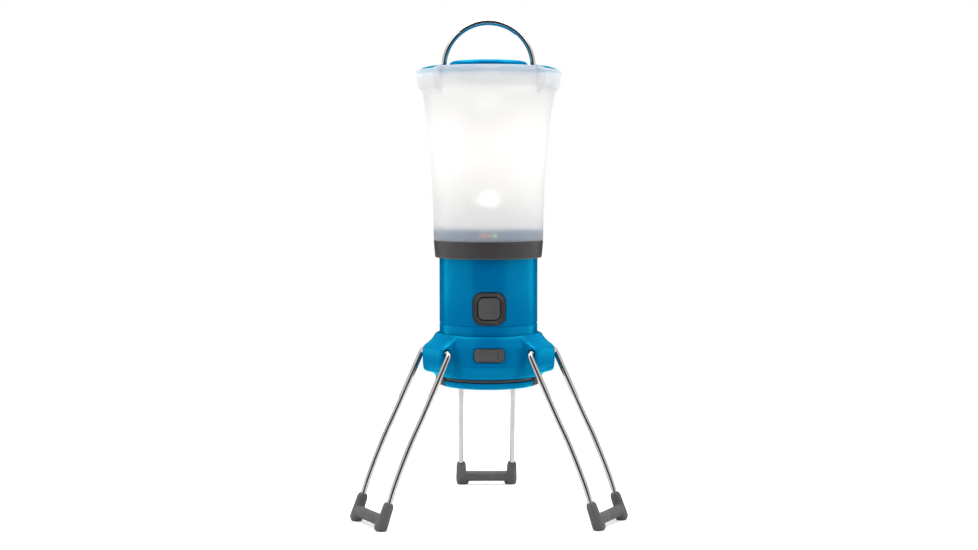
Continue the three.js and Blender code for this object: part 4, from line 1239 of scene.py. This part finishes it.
def make_world():
    """White studio: the backdrop is white, and what lights the lantern is bright at its sides."""
    world = bpy.data.worlds.new("studio")
    scene.world = world
    nodes = Nodes("studio", world)
    x, y, z = nodes.split()
    azimuth = nodes.math("ARCTAN2", nodes.math("ABSOLUTE", x), nodes.math("MULTIPLY", y, -1))
    leaning = nodes.math("MULTIPLY_ADD", nodes.math("MAXIMUM", z, 0), WEDGE, azimuth)
    share = nodes.math("DIVIDE", leaning, math.pi)
    raised = nodes.between(z, 0, 1, 0.14, 0.30)
    brightness = nodes.blend(raised, nodes.greys(share, WORLD), nodes.greys(share, WORLD_HIGH))
    lit = nodes.node("ShaderNodeBackground")
    nodes.link(brightness, lit.inputs["Color"])
    nodes.link(nodes.between(z, 0.30, 1, -0.125, -0.100), lit.inputs["Strength"])
    backdrop = nodes.node("ShaderNodeBackground")
    backdrop.inputs["Color"].default_value = (1, 1, 1, 1)
    seen = nodes.node("ShaderNodeLightPath").outputs["Is Camera Ray"]
    nodes.done(nodes.mix(seen, lit.outputs[0], backdrop.outputs[0]))


make_world()


def make_light(name, kind, location, power, rotation=(0, 0, 0), **values):
    data = bpy.data.lights.new(name, kind)
    data.energy = power
    for key, value in values.items():
        setattr(data, key, value)
    light = bpy.data.objects.new(name, data)
    light.location = location
    light.rotation_euler = rotation
    scene.collection.objects.link(light)
    return light


AXIS = AXIS_Y * MM
# the lamp, and the light it scatters up and down the inside of the globe
for index, (height, power) in enumerate(((0.156, 0.0047), (0.170, 0.0128), (0.186, 0.0275))):
    inner = make_light(
        f"lamp_{index + 1}", "POINT", (0, AXIS, height), power, shadow_soft_size=0.003,
        color=(1.0, 0.98, 0.95),
    )
    inner.visible_camera = False
    inner.visible_transmission = False
    inner.visible_glossy = False


def softbox(name, azimuth, elevation, distance, size, radiance):
    """A square lamp aimed at the lantern; azimuth 270 is the camera's side."""
    turn, rise = math.radians(azimuth), math.radians(elevation)
    target = (0, AXIS, 0.11)
    place = (
        target[0] + distance * math.cos(rise) * math.cos(turn),
        target[1] + distance * math.cos(rise) * math.sin(turn),
        target[2] + distance * math.sin(rise),
    )
    rotation = (math.pi / 2 - rise, 0, turn + math.pi / 2)
    make_light(
        name, "AREA", place, radiance * math.pi * size**2, rotation, size=size, color=(1, 1, 1)
    )


softbox("overhead", 90, 80, 0.9, 0.8, 3.2)
for name, azimuth, elevation, size in (
    ("left_box", 202, 54, 0.55),
    ("right_box", 338, 54, 0.55),
    ("left_back_box", 140, 58, 0.35),
    ("right_back_box", 40, 58, 0.35),
):
    softbox(name, azimuth, elevation, 0.9, size, 2.0)

# the pinhole camera that fits the photo's ellipses and feet
camera_data = bpy.data.cameras.new("camera")
camera_data.lens = 57.19
camera_data.sensor_width = 36
camera_data.shift_x = 0.000545
camera_data.clip_start = 0.01
camera = bpy.data.objects.new("camera", camera_data)
camera.location = (-0.0123, -0.7520, 0.1609)
camera.rotation_euler = (math.radians(86.357), 0, math.radians(-0.951))
scene.collection.objects.link(camera)
scene.camera = camera

scene.view_settings.view_transform = "Standard"
scene.cycles.use_denoising = True
scene.cycles.caustics_refractive = True
scene.cycles.caustics_reflective = False
